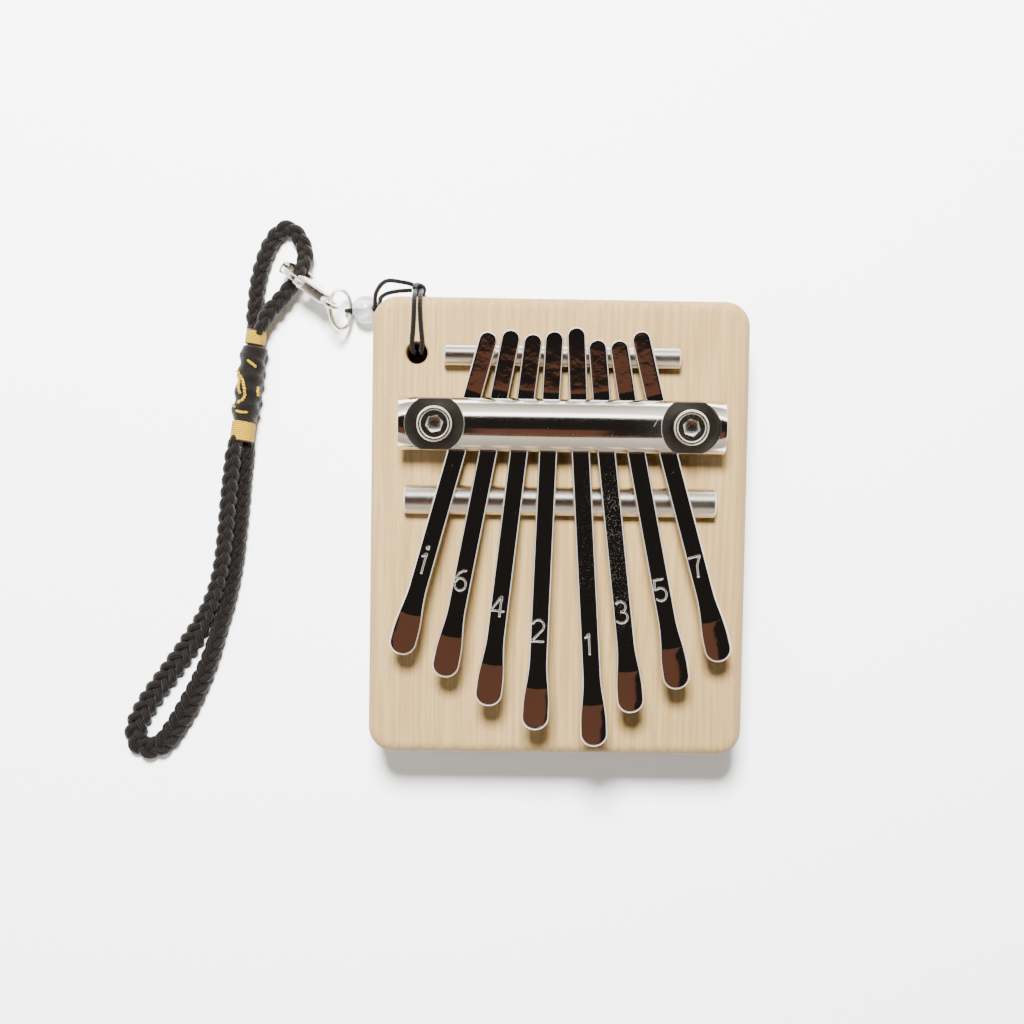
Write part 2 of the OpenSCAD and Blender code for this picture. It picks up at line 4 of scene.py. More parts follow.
import bmesh
import bpy
from bpy.props import FloatProperty, FloatVectorProperty, IntProperty, PointerProperty
from mathutils import Matrix, Vector, noise
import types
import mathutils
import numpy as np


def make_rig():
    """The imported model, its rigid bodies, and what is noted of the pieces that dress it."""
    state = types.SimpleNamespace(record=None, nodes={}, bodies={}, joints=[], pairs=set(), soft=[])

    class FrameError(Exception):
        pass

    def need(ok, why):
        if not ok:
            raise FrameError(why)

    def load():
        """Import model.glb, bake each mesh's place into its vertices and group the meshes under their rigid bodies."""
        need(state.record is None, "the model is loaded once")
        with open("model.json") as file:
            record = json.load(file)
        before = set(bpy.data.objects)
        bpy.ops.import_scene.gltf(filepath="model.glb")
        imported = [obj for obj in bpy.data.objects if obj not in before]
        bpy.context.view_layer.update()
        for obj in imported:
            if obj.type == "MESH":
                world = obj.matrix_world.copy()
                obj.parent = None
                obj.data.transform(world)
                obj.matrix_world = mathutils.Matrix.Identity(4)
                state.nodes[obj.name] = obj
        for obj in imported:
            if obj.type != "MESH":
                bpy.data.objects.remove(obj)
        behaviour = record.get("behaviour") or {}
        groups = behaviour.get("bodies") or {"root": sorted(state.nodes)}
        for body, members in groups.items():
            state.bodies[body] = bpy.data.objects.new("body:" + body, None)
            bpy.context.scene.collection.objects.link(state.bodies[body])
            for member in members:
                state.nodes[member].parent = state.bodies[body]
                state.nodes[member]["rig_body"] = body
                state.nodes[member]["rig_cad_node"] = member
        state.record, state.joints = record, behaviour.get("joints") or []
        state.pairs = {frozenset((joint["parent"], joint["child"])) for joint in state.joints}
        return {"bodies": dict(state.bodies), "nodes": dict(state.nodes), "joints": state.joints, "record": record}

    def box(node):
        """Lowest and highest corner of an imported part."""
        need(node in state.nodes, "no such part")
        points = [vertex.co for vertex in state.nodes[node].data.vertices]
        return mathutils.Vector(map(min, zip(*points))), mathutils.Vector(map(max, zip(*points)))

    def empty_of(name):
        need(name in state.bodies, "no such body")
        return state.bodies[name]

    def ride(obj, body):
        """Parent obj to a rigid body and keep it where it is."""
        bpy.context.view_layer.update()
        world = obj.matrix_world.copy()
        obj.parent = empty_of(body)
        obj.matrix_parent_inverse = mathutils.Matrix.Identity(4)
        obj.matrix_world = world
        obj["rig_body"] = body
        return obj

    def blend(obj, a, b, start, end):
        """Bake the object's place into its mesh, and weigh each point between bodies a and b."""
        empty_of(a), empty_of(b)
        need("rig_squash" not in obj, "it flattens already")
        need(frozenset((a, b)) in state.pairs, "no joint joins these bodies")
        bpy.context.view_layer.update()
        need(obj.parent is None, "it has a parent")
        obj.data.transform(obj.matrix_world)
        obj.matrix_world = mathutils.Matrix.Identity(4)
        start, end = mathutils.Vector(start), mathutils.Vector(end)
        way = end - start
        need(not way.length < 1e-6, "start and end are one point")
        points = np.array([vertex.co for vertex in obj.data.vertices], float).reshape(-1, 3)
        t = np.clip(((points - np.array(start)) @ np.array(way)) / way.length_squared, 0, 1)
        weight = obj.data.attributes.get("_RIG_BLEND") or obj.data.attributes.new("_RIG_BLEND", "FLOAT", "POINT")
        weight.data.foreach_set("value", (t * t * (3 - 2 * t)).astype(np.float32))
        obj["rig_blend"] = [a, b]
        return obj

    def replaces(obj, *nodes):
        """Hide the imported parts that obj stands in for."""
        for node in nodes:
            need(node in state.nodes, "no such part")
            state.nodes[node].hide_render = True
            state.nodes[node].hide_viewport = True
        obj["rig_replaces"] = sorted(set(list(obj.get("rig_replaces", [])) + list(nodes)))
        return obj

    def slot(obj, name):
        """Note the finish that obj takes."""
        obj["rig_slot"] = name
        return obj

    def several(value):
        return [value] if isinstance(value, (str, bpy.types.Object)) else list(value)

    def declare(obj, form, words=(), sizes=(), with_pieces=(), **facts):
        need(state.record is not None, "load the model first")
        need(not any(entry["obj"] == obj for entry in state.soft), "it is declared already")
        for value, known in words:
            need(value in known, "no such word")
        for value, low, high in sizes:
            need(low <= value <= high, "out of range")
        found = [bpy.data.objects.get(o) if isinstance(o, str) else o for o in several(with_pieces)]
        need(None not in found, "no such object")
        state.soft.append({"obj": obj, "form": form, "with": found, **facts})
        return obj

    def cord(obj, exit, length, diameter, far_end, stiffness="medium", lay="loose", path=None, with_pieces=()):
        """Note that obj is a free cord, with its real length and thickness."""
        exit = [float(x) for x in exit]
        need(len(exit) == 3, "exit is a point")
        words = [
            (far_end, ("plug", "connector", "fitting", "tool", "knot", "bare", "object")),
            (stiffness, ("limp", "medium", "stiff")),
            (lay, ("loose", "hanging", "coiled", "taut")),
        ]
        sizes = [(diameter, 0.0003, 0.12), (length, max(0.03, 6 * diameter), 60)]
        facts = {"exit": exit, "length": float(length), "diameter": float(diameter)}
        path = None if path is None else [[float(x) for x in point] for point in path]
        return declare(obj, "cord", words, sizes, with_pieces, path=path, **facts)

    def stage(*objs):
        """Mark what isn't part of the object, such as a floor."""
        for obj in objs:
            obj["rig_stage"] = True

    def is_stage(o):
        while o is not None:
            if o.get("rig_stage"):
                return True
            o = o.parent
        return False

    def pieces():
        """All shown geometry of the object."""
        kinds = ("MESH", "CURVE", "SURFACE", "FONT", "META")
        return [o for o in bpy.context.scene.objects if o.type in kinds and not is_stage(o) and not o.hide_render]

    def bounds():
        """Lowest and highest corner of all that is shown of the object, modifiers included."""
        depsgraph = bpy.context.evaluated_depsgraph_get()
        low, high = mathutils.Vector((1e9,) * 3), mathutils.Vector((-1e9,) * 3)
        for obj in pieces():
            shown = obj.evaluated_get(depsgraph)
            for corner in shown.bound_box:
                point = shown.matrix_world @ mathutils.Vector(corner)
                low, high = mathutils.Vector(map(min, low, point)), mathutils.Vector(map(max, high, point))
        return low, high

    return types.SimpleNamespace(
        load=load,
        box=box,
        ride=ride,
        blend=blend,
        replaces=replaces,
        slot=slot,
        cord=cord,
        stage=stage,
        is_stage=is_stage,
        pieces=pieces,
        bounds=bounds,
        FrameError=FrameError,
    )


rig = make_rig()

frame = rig.load()
CAD_LOW, CAD_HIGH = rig.bounds()

bl_info = {
    "name": "Pocket Mbira",
    "version": (1, 0, 0),
    "blender": (4, 5, 0),
    "location": "View3D > Sidebar > Mbira",
    "description": "Builds a pocket mbira with eight tines and a braided wrist strap",
    "category": "Add Mesh",
}

MM = 0.001
UP = Vector((0, 0, 1))
JOINTS = {joint["name"]: joint for joint in frame["joints"]}

# Tines from left to right: note, stamped number, how far its tail and its spoon were bent off
# the shared slope in degrees, how dusty it is, and its number's distance from the playing end.
TINES = [
    ("c1high", "1", 1.0, 0.0, 0.05, 18.4), ("a6", "6", 0.15, 0.2, 0.08, 19.4),
    ("f4", "4", 0.0, -0.2, 0.06, 19.6), ("d2", "2", 0.05, 0.3, 0.10, 19.5),
    ("c1", "1", 0.0, -0.3, 0.22, 20.0), ("e3", "3", 0.2, 0.2, 0.42, 19.9),
    ("g5", "5", 1.0, 0.0, 0.08, 19.8), ("b7", "7", 1.0, -0.2, 0.06, 19.2),
]

# Routes of the cords, in millimetres.
LEFT_ROUTE = [
    (-29.3, 47.2, 12.0), (-29.3, 46.5, 14.0), (-29.3, 46.1, 15.8), (-29.3, 45.5, 17.2),
    (-29.3, 44.4, 18.2), (-29.3, 43.0, 18.55), (-29.4, 39.8, 18.52), (-29.6, 36.9, 18.52),
    (-29.6, 35.7, 18.45), (-29.5, 34.9, 17.6), (-29.4, 34.6, 16.0), (-29.3, 34.6, 9.0),
    (-29.3, 34.7, 2.4), (-29.3, 35.2, 0.9), (-29.3, 36.0, 0.52), (-29.3, 40.0, 0.5),
    (-29.3, 45.0, 0.5), (-29.3, 45.9, 0.9), (-29.3, 46.3, 2.2), (-29.3, 46.4, 6.0),
    (-29.1, 46.9, 9.6), (-28.9, 47.5, 10.8), (-30.2, 48.3, 11.3), (-32.2, 48.7, 11.6),
    (-34.8, 49.0, 10.8), (-36.4, 48.3, 9.5), (-37.6, 46.6, 7.6), (-37.9, 44.9, 5.8),
    (-38.3, 44.0, 4.6), (-40.2, 43.7, 3.4), (-41.9, 43.5, 2.6), (-43.1, 43.5, 2.66),
    (-43.85, 43.5, 2.35), (-44.13, 43.5, 1.6), (-43.85, 43.5, 0.85), (-43.1, 43.5, 0.52),
    (-42.3, 43.5, 0.65), (-41.4, 43.5, 1.4), (-39.6, 43.6, 2.6), (-37.7, 43.8, 3.7),
    (-36.9, 44.7, 5.3), (-36.6, 45.8, 7.2), (-35.2, 46.6, 8.7), (-33.0, 47.0, 9.8),
    (-31.4, 47.1, 10.2), (-30.1, 47.2, 10.2),
]
RIGHT_ROUTE = [
    (-28.1, 47.2, 12.0), (-28.1, 46.5, 14.0), (-28.1, 46.1, 15.8), (-28.1, 45.5, 17.2),
    (-28.1, 44.4, 18.2), (-28.1, 43.0, 18.55), (-27.9, 39.8, 18.52), (-27.6, 36.9, 18.52),
    (-27.6, 35.7, 18.45), (-27.7, 34.9, 17.6), (-27.8, 34.6, 16.0), (-27.9, 34.6, 9.0),
    (-27.9, 34.7, 2.4), (-27.9, 35.2, 0.9), (-27.9, 36.0, 0.52), (-27.9, 40.0, 0.5),
    (-27.9, 45.0, 0.5), (-27.9, 45.9, 0.9), (-27.9, 46.3, 2.2), (-27.9, 46.4, 6.0),
    (-28.0, 47.0, 9.6),
]
# The strap's loops start and end inside the bands.
TOP_ROUTE = [
    (-62.9, 37.9, 2.7),
    (-63.4, 39.4, 1.9), (-63.0, 43.5, 1.7), (-62.6, 48.0, 1.6), (-61.6, 52.6, 1.6),
    (-59.8, 57.2, 1.6), (-57.6, 59.8, 1.6), (-55.6, 60.0, 1.6), (-53.6, 57.8, 1.6),
    (-52.6, 54.8, 2.4), (-52.9, 52.4, 3.7), (-53.8, 50.2, 4.5), (-55.2, 48.2, 4.1),
    (-57.6, 45.2, 4.0), (-60.0, 42.4, 4.2), (-61.3, 39.7, 4.3),
    (-62.3, 38.0, 3.4),
]
WRIST_ROUTE = [
    (-65.7, 18.2, 3.6),
    (-66.6, 15.8, 4.3), (-67.3, 10.0, 4.3), (-68.0, 3.0, 4.3), (-68.6, -4.0, 4.2),
    (-69.7, -11.5, 3.8), (-72.0, -18.5, 2.8), (-75.8, -25.6, 1.7), (-80.4, -32.4, 1.6),
    (-84.6, -38.4, 1.6), (-87.2, -43.6, 1.6), (-87.2, -47.0, 1.6), (-85.0, -48.6, 1.6),
    (-81.8, -47.6, 1.6), (-78.6, -43.2, 1.6), (-75.2, -37.0, 1.6), (-72.2, -30.0, 1.6),
    (-70.0, -23.0, 1.6), (-68.1, -16.0, 1.6), (-66.8, -9.0, 1.6), (-66.0, -2.0, 1.6),
    (-65.4, 5.0, 1.6), (-64.9, 11.0, 1.7), (-64.3, 15.5, 1.8),
    (-64.6, 18.2, 2.5),
]


# ---------- settings ----------

def length_setting(name, description, millimetres):
    return FloatProperty(
        name=name, description=description, default=millimetres * MM, unit="LENGTH")


def colour_setting(name, description, colour):
    return FloatVectorProperty(
        name=name, description=description, default=colour, subtype="COLOR")


class MbiraSizes(bpy.types.PropertyGroup):
    """Sizes of the details that a maker would change."""

    corner: length_setting("Board corner", "Radius of the board's upright corners", 5)
    rim: length_setting("Board rim", "Radius that softens the board's faces", 2.5)
    tine_width: length_setting("Tine width", "Width of a tine's straight strip", 3.7)
    spoon_width: length_setting("Spoon width", "Width of a tine's playing end", 5.3)
    tine_edge: length_setting("Tine edge", "Radius of a tine's tumbled upper edges", 0.38)
    spoon_crown: length_setting("Spoon crown", "How much the playing ends are domed", 0.13)
    number_height: length_setting("Number height", "Height of the stamped numbers", 4.1)
    stamp: length_setting("Stamp stroke", "Radius of the stamp that cuts the numbers", 0.30)
    cord: length_setting("Thin cord", "Diameter of the waxed cord", 0.9)
    strap: length_setting("Strap", "Thickness of the braided strap", 2.9)
    plait: length_setting("Plait pitch", "Length along the strap of one turn of its plait", 7.6)
    threads: IntProperty(
        name="Ridges", description="Threads that show round each strand of the plait",
        default=9, min=5, max=14)


class MbiraColours(bpy.types.PropertyGroup):
    """Colours of the finishes."""

    wood: colour_setting("Wood", "Sanded pale wood", (0.315, 0.212, 0.090))
    wood_dark: colour_setting("Grain", "Darker lines of the grain", (0.13, 0.070, 0.022))
    nickel: colour_setting("Nickel", "Bright nickel plate", (0.80, 0.77, 0.72))
    steel: colour_setting("Steel", "Polished spring steel", (0.66, 0.64, 0.62))
    brass: colour_setting("Brass", "Turned brass of the inserts", (0.62, 0.44, 0.16))
    cord: colour_setting("Cord", "Black waxed cord and braid", (0.006, 0.005, 0.0045))
    gold: colour_setting("Gold thread", "Wound gold thread", (0.36, 0.270, 0.001))
    # Red-brown for the faces at each end of a gold band, and in the gaps between the gold turns, where it is painted
    # shade.
    red_brown: colour_setting("Red-brown", "Thin turns beside the gold thread", (0.12, 0.03, 0.015))
    bead: colour_setting("Bead", "Clear plastic", (0.93, 0.94, 0.95))


# ---------- tools for meshes ----------

def deselect():
    """Leave edit mode with nothing selected."""
    if bpy.context.active_object and bpy.context.active_object.mode != "OBJECT":
        bpy.ops.object.mode_set(mode="OBJECT")
    bpy.ops.object.select_all(action="DESELECT")


def pick(piece):
    """Make this the only selected piece, and the active one."""
    deselect()
    piece.select_set(True)
    bpy.context.view_layer.objects.active = piece
    return piece


def named(name):
    piece = bpy.context.active_object
    piece.name = piece.data.name = name
    return piece


def weld(piece):
    """Close seams and poles and turn every face outwards."""
    pick(piece)
    bpy.ops.object.mode_set(mode="EDIT")
    bpy.ops.mesh.select_all(action="SELECT")
    bpy.ops.mesh.remove_doubles(threshold=2e-6)
    bpy.ops.mesh.normals_make_consistent(inside=False)
    bpy.ops.object.mode_set(mode="OBJECT")
    return piece


def settle(piece):
    """Leave the object at the origin, unturned, with its place in its mesh."""
    pick(piece)
    bpy.ops.object.transform_apply(location=True, rotation=True, scale=True)
    return piece


def smooth(piece, degrees=35):
    pick(piece)
    bpy.ops.object.shade_smooth_by_angle(angle=math.radians(degrees))
    return piece


def shaped_grid(name, rows, columns, place):
    """Put each point of a grid where place(row, column) says, then close its seams."""
    deselect()
    bpy.ops.mesh.primitive_grid_add(x_subdivisions=rows, y_subdivisions=columns, size=1)
    piece = named(name)
    for point in piece.data.vertices:
        row = round((point.co.x + 0.5) * rows)
        column = round((point.co.y + 0.5) * columns)
        point.co = place(row, column)
    return weld(piece)


def turned(name, profile, sides=64):
    """Turn a profile of (radius, height) round Z, as on a lathe."""
    def place(row, column):
        radius, height = profile[row]
        turn = math.tau * (column % sides) / sides
        return Vector((radius * math.cos(turn), radius * math.sin(turn), height))
    return shaped_grid(name, len(profile) - 1, sides, place)


def arc(centre, radius, start, end, steps):
    """Points (x, y) on an arc, from start to end in degrees."""
    points = []
    for i in range(steps + 1):
        turn = math.radians(start + (end - start) * i / steps)
        points.append((centre[0] + radius * math.cos(turn), centre[1] + radius * math.sin(turn)))
    return points


def join(name, pieces):
    deselect()
    for piece in pieces:
        piece.select_set(True)
    bpy.context.view_layer.objects.active = pieces[0]
    bpy.ops.object.join()
    return named(name)


def boolean(piece, cutter, operation="DIFFERENCE", crossing=False):
    """Cut or unite two solids, and remove the second one, which may cross itself."""
    pick(piece)
    modifier = piece.modifiers.new("Boolean", "BOOLEAN")
    modifier.operation = operation
    modifier.solver = "EXACT"
    modifier.use_self = crossing
    modifier.object = cutter
    bpy.ops.object.modifier_apply(modifier=modifier.name)
    bpy.data.objects.remove(cutter)
    return piece


def rod_cutter(radius, depth, centre, axis="Z", vertices=64):
    deselect()
    rotation = {"X": (0, math.pi / 2, 0), "Z": (0, 0, 0)}[axis]
    bpy.ops.mesh.primitive_cylinder_add(
        vertices=vertices, radius=radius, depth=depth, location=centre, rotation=rotation)
    return settle(named("cutter"))


def bevel_edges(piece, chosen, width, segments):
    """Round the edges for which chosen(edge) holds."""
    pick(piece)
    bpy.ops.object.mode_set(mode="EDIT")
    bpy.ops.mesh.select_mode(type="EDGE")
    bpy.ops.mesh.select_all(action="DESELECT")
    mesh = bmesh.from_edit_mesh(piece.data)
    for edge in mesh.edges:
        edge.select = chosen(edge)
    bmesh.update_edit_mesh(piece.data)
    bpy.ops.mesh.bevel(offset=width, segments=segments, affect="EDGES")
    bpy.ops.object.mode_set(mode="OBJECT")
    return piece


# ---------- tools for cords ----------

def smooth_route(points, step):
    """A smooth curve through points in millimetres, as evenly spaced points in metres."""
    knots = [Vector(point) * MM for point in points]
    knots = [knots[0] * 2 - knots[1], *knots, knots[-1] * 2 - knots[-2]]
    fine = []
    for a, b, c, d in zip(knots, knots[1:], knots[2:], knots[3:]):
        count = max(4, math.ceil((c - b).length / step * 2))
        for i in range(count):
            t = i / count
            fine.append(0.5 * (
                2 * b + (c - a) * t + (2 * a - 5 * b + 4 * c - d) * t * t
                + (3 * b - a - 3 * c + d) * t ** 3))
    fine.append(knots[-2])
    return evenly(fine, step)


def evenly(fine, step):
    travel = [0.0]
    for a, b in zip(fine, fine[1:]):
        travel.append(travel[-1] + (b - a).length)
    count = max(2, round(travel[-1] / step))
    spaced, k = [], 0
    for i in range(count + 1):
        at = travel[-1] * i / count
        while k < len(fine) - 2 and travel[k + 1] < at:
            k += 1
        share = (at - travel[k]) / max(travel[k + 1] - travel[k], 1e-9)
        spaced.append(fine[k].lerp(fine[k + 1], min(max(share, 0), 1)))
    return spaced


def headings(line):
    return [
        (line[min(i + 1, len(line) - 1)] - line[max(i - 1, 0)]).normalized()
        for i in range(len(line))
    ]


def carried(line, start):
    """Sideways directions carried along a line without twisting."""
    frames, side = [], Vector(start)
    for heading in headings(line):
        side = (side - heading * side.dot(heading)).normalized()
        frames.append((side, heading.cross(side)))
    return frames


def tube(name, line, radius, sides, start=(1, 0, 0)):
    """Sweep a closed section along a line: radius(i, turn) is its size there."""
    frames = carried(line, start)
    last = len(line) + 1

    def place(row, column):
        i = min(max(row - 1, 0), len(line) - 1)
        if row in (0, last):
            return line[i]
        turn = math.tau * (column % sides) / sides
        side, up = frames[i]
        return line[i] + (side * math.cos(turn) + up * math.sin(turn)) * radius(i, turn)
    return shaped_grid(name, last, sides, place)


def length_of(line):
    return sum((b - a).length for a, b in zip(line, line[1:]))


def diamond_weave(i, turn, lean):
    """Relief of a fine braid whose threads lean both ways, from -1 to 1."""
    return math.cos(2 * turn - lean * i) * math.cos(2 * turn + lean * i)


def waxed_cord(name, route, diameter):
    """A thin cord with the diamond relief of a fine braid."""
    step = 0.16 * MM
    line = smooth_route(route, step)
    lean = math.tau / (1.5 * MM) * step

    def radius(i, turn):
        return diameter / 2 * (0.98 + 0.11 * diamond_weave(i, turn, lean))
    return smooth(tube(name, line, radius, 16), 60), line


def plait(name, route, width, thickness, pitch, threads):
    """A three-strand plait of thread bundles; width(point) is its width there."""
    step = 0.36 * MM
    line = smooth_route(route, step)
    ways = headings(line)
    bundle = thickness * 0.29
    strands = []
    for k in range(3):
        centres = []
        for i, (point, way) in enumerate(zip(line, ways)):
            across = UP.cross(way).normalized()
            over = way.cross(across)
            phase = math.tau * (i * step / pitch + k / 3)
            reach = width(point) / 2 - bundle
            lift = thickness / 2 - bundle
            centres.append(
                point + across * reach * math.sin(phase) + over * lift * math.sin(2 * phase))

        def radius(i, turn):
            ridge = abs(math.cos(threads / 2 * turn + 0.10 * i))
            end = min(1, (i + 1) / 4, (len(line) - i) / 4)
            return bundle * (0.90 + 0.13 * ridge) * end
        strands.append(tube(name, centres, radius, threads * 3, (0, 0, 1)))
    return smooth(join(name, strands), 50), line


# ---------- materials ----------

def add(tree, kind, **values):
    """Add a node; names of inputs use underscores for spaces."""
    made = tree.nodes.new("ShaderNode" + kind)
    for key, value in values.items():
        if hasattr(made, key):
            setattr(made, key, value)
        elif isinstance(value, bpy.types.NodeSocket):
            tree.links.new(value, made.inputs[key.replace("_", " ")])
        else:
            made.inputs[key.replace("_", " ")].default_value = value
    return made


def ramp(tree, factor, stops):
    """Colour from a factor: stops are (position, colour)."""
    made = tree.nodes.new("ShaderNodeValToRGB")
    tree.links.new(factor, made.inputs["Fac"])
    elements = made.color_ramp.elements
    while len(elements) < len(stops):
        elements.new(0.5)
    for element, (at, colour) in zip(elements, stops):
        element.position = at
        element.color = (*colour, 1) if len(colour) == 3 else colour
    return made.outputs["Color"]


def maths(tree, operation, a, b=None, c=None):
    made = tree.nodes.new("ShaderNodeMath")
    made.operation = operation
    for socket, value in zip(made.inputs, (a, b, c)):
        if isinstance(value, bpy.types.NodeSocket):
            tree.links.new(value, socket)
        elif value is not None:
            socket.default_value = value
    return made.outputs[0]


def mixed(tree, factor, a, b, blend="MIX"):
    made = tree.nodes.new("ShaderNodeMix")
    made.data_type = "RGBA"
    made.blend_type = blend
    for socket, value in zip((made.inputs[0], made.inputs[6], made.inputs[7]), (factor, a, b)):
        if isinstance(value, bpy.types.NodeSocket):
            tree.links.new(value, socket)
        elif isinstance(value, (int, float)):
            socket.default_value = value
        else:
            socket.default_value = (*value, 1) if len(value) == 3 else value
    return made.outputs[2]


def new_group(name, inputs, outputs):
    tree = bpy.data.node_groups.new(name, "ShaderNodeTree")
    for label, kind, value in inputs:
        socket = tree.interface.new_socket(name=label, in_out="INPUT", socket_type=kind)
        if value is not None:
            socket.default_value = value
    for label, kind in outputs:
        tree.interface.new_socket(name=label, in_out="OUTPUT", socket_type=kind)
    start = tree.nodes.new("NodeGroupInput")
    end = tree.nodes.new("NodeGroupOutput")
    return tree, start, end


def use_group(tree, group, **values):
    made = tree.nodes.new("ShaderNodeGroup")
    made.node_tree = group
    for key, value in values.items():
        socket = made.inputs[key.replace("_", " ")]
        if isinstance(value, bpy.types.NodeSocket):
            tree.links.new(value, socket)
        else:
            socket.default_value = value
    return made


def stretched(tree, vector, factors):
    """A vector multiplied by a factor for each axis."""
    made = add(tree, "VectorMath", operation="MULTIPLY")
    tree.links.new(vector, made.inputs[0])
    made.inputs[1].default_value = factors
    return made.outputs[0]


def wood_grain_group():
    """Stretched grain: broad bands, fine lines and short dark pores."""
    tree, start, end = new_group(
        "Wood grain", [("Vector", "NodeSocketVector", None)],
        [("Bands", "NodeSocketFloat"), ("Lines", "NodeSocketFloat"), ("Pores", "NodeSocketFloat"),
         ("Height", "NodeSocketFloat")])
    vector = start.outputs["Vector"]
    wander = add(tree, "TexNoise", Vector=vector, Scale=22.0, Detail=2.0)
    shifted = add(tree, "VectorMath", operation="MULTIPLY_ADD")
    tree.links.new(wander.outputs["Color"], shifted.inputs[0])
    shifted.inputs[1].default_value = (0.0025, 0.0, 0.0025)
    tree.links.new(vector, shifted.inputs[2])
    bands = noise_along(tree, shifted.outputs[0], (75, 5, 75), 4)
    lines = noise_along(tree, shifted.outputs[0], (1300, 30, 1300), 4)
    pores = noise_along(tree, shifted.outputs[0], (2400, 130, 2400), 2)
    pore_mask = add(tree, "MapRange", Value=pores, From_Min=0.60, From_Max=0.74)
    tree.links.new(bands, end.inputs["Bands"])
    tree.links.new(lines, end.inputs["Lines"])
    tree.links.new(pore_mask.outputs[0], end.inputs["Pores"])
    sunk = maths(tree, "MULTIPLY_ADD", pore_mask.outputs[0], -0.8, lines)
    tree.links.new(sunk, end.inputs["Height"])
    return tree


def noise_along(tree, vector, stretch, detail):
    """Noise drawn out along an axis by a smaller factor for that axis."""
    texture = add(tree, "TexNoise", Vector=stretched(tree, vector, stretch), Scale=1.0,
                  Detail=float(detail), Roughness=0.6)
    return texture.outputs["Fac"]


def scuff_group():
    """Wear of polished metal: hair scratches, dust specks and a soft smear."""
    tree, start, end = new_group(
        "Metal scuffs",
        [("Vector", "NodeSocketVector", None), ("Dust", "NodeSocketFloat", 0.3)],
        [("Scratches", "NodeSocketFloat"), ("Specks", "NodeSocketFloat"),
         ("Smear", "NodeSocketFloat"), ("Height", "NodeSocketFloat")])
    vector = start.outputs["Vector"]
    one = scratch_lines(tree, vector, 0.5, (3200, 420, 420))
    two = scratch_lines(tree, vector, -0.9, (380, 3000, 380))
    scratches = maths(tree, "MAXIMUM", one, two)
    cells = add(tree, "TexVoronoi", Vector=vector, Scale=4200.0)
    size = add(tree, "TexNoise", Vector=vector, Scale=260.0, Detail=3.0)
    limit = maths(tree, "MULTIPLY", size.outputs["Fac"], start.outputs["Dust"])
    specks = maths(tree, "LESS_THAN", cells.outputs["Distance"], limit)
    smear = add(tree, "TexNoise", Vector=vector, Scale=180.0, Detail=4.0)
    tree.links.new(scratches, end.inputs["Scratches"])
    tree.links.new(specks, end.inputs["Specks"])
    tree.links.new(smear.outputs["Fac"], end.inputs["Smear"])
    height = maths(tree, "MULTIPLY_ADD", scratches, -0.6, specks)
    tree.links.new(height, end.inputs["Height"])
    return tree


def scratch_lines(tree, vector, turn, stretch):
    """Thin lines where a drawn-out noise peaks, turned on the surface."""
    rotate = add(tree, "VectorRotate", rotation_type="Z_AXIS", Vector=vector, Angle=turn)
    drawn_out = stretched(tree, rotate.outputs[0], stretch)
    texture = add(tree, "TexNoise", Vector=drawn_out, Scale=1.0, Detail=2.0)
    mask = add(tree, "MapRange", Value=texture.outputs["Fac"], From_Min=0.70, From_Max=0.82)
    return mask.outputs[0]


def thread_group():
    """Threads along a strand, from its own UV map: fibre streaks that also serve as a painted sheen, painted shade in
    the gaps between threads, and a relief.
    """
    tree, start, end = new_group(
        "Threads",
        [("Vector", "NodeSocketVector", None), ("Count", "NodeSocketFloat", 9.0),
         ("Lean", "NodeSocketFloat", 20.0)],
        [("Gap shade", "NodeSocketFloat"), ("Fuzz and sheen", "NodeSocketFloat"), ("Height", "NodeSocketFloat")])
    split = add(tree, "SeparateXYZ", Vector=start.outputs["Vector"])
    along = maths(tree, "MULTIPLY", split.outputs["X"], start.outputs["Lean"])
    around = maths(tree, "MULTIPLY_ADD", split.outputs["Y"], start.outputs["Count"], along)
    wave = maths(tree, "PINGPONG", around, 0.5)
    height = maths(tree, "MULTIPLY", wave, 2.0)
    # The gaps, where the wave is low, are where the painted shade goes in the colour.
    gap = maths(tree, "SMOOTH_MIN", height, 1.0, 0.2)
    fibres = stretched(tree, start.outputs["Vector"], (260.0, 60.0, 1.0))
    fuzz_and_sheen = add(tree, "TexNoise", Vector=fibres, Scale=1.0, Detail=3.0)
    tree.links.new(gap, end.inputs["Gap shade"])
    tree.links.new(fuzz_and_sheen.outputs["Fac"], end.inputs["Fuzz and sheen"])
    tree.links.new(height, end.inputs["Height"])
    return tree


def new_material(name, **values):
    """A material, with values for its shader's inputs; underscores stand for spaces."""
    material = bpy.data.materials.new(name)
    material.use_nodes = True
    tree = material.node_tree
    shader = tree.nodes["Principled BSDF"]
    for key, value in values.items():
        shader.inputs[key.replace("_", " ")].default_value = value
    place = tree.nodes.new("ShaderNodeTexCoord")
    return material, tree, shader, place


def bump(tree, shader, height, strength, distance):
    """Fine relief, in metres, that is too small to model."""
    made = add(tree, "Bump", Strength=strength, Distance=distance, Height=height)
    tree.links.new(made.outputs[0], shader.inputs["Normal"])


def wood_material(colours):
    _, tree, shader, place = new_material("Sanded pale wood", Specular_IOR_Level=0.25)
    grain = use_group(tree, bpy.data.node_groups["Wood grain"], Vector=place.outputs["Object"])
    light, dark = tuple(colours.wood), tuple(colours.wood_dark)
    bands = ramp(tree, grain.outputs["Bands"], [(0.28, [c * 0.84 for c in light]), (0.70, light)])
    lined = mixed(tree, ramp(tree, grain.outputs["Lines"], [
        (0.42, (0.34, 0.34, 0.34)), (0.60, (0, 0, 0))]), bands, dark)
    poured = mixed(tree, maths(tree, "MULTIPLY", grain.outputs["Pores"], 0.30), lined, dark)
    tree.links.new(poured, shader.inputs["Base Color"])
    rough = maths(tree, "MULTIPLY_ADD", grain.outputs["Lines"], 0.2, 0.50)
    tree.links.new(rough, shader.inputs["Roughness"])
    bump(tree, shader, grain.outputs["Height"], 0.25, 0.00006)


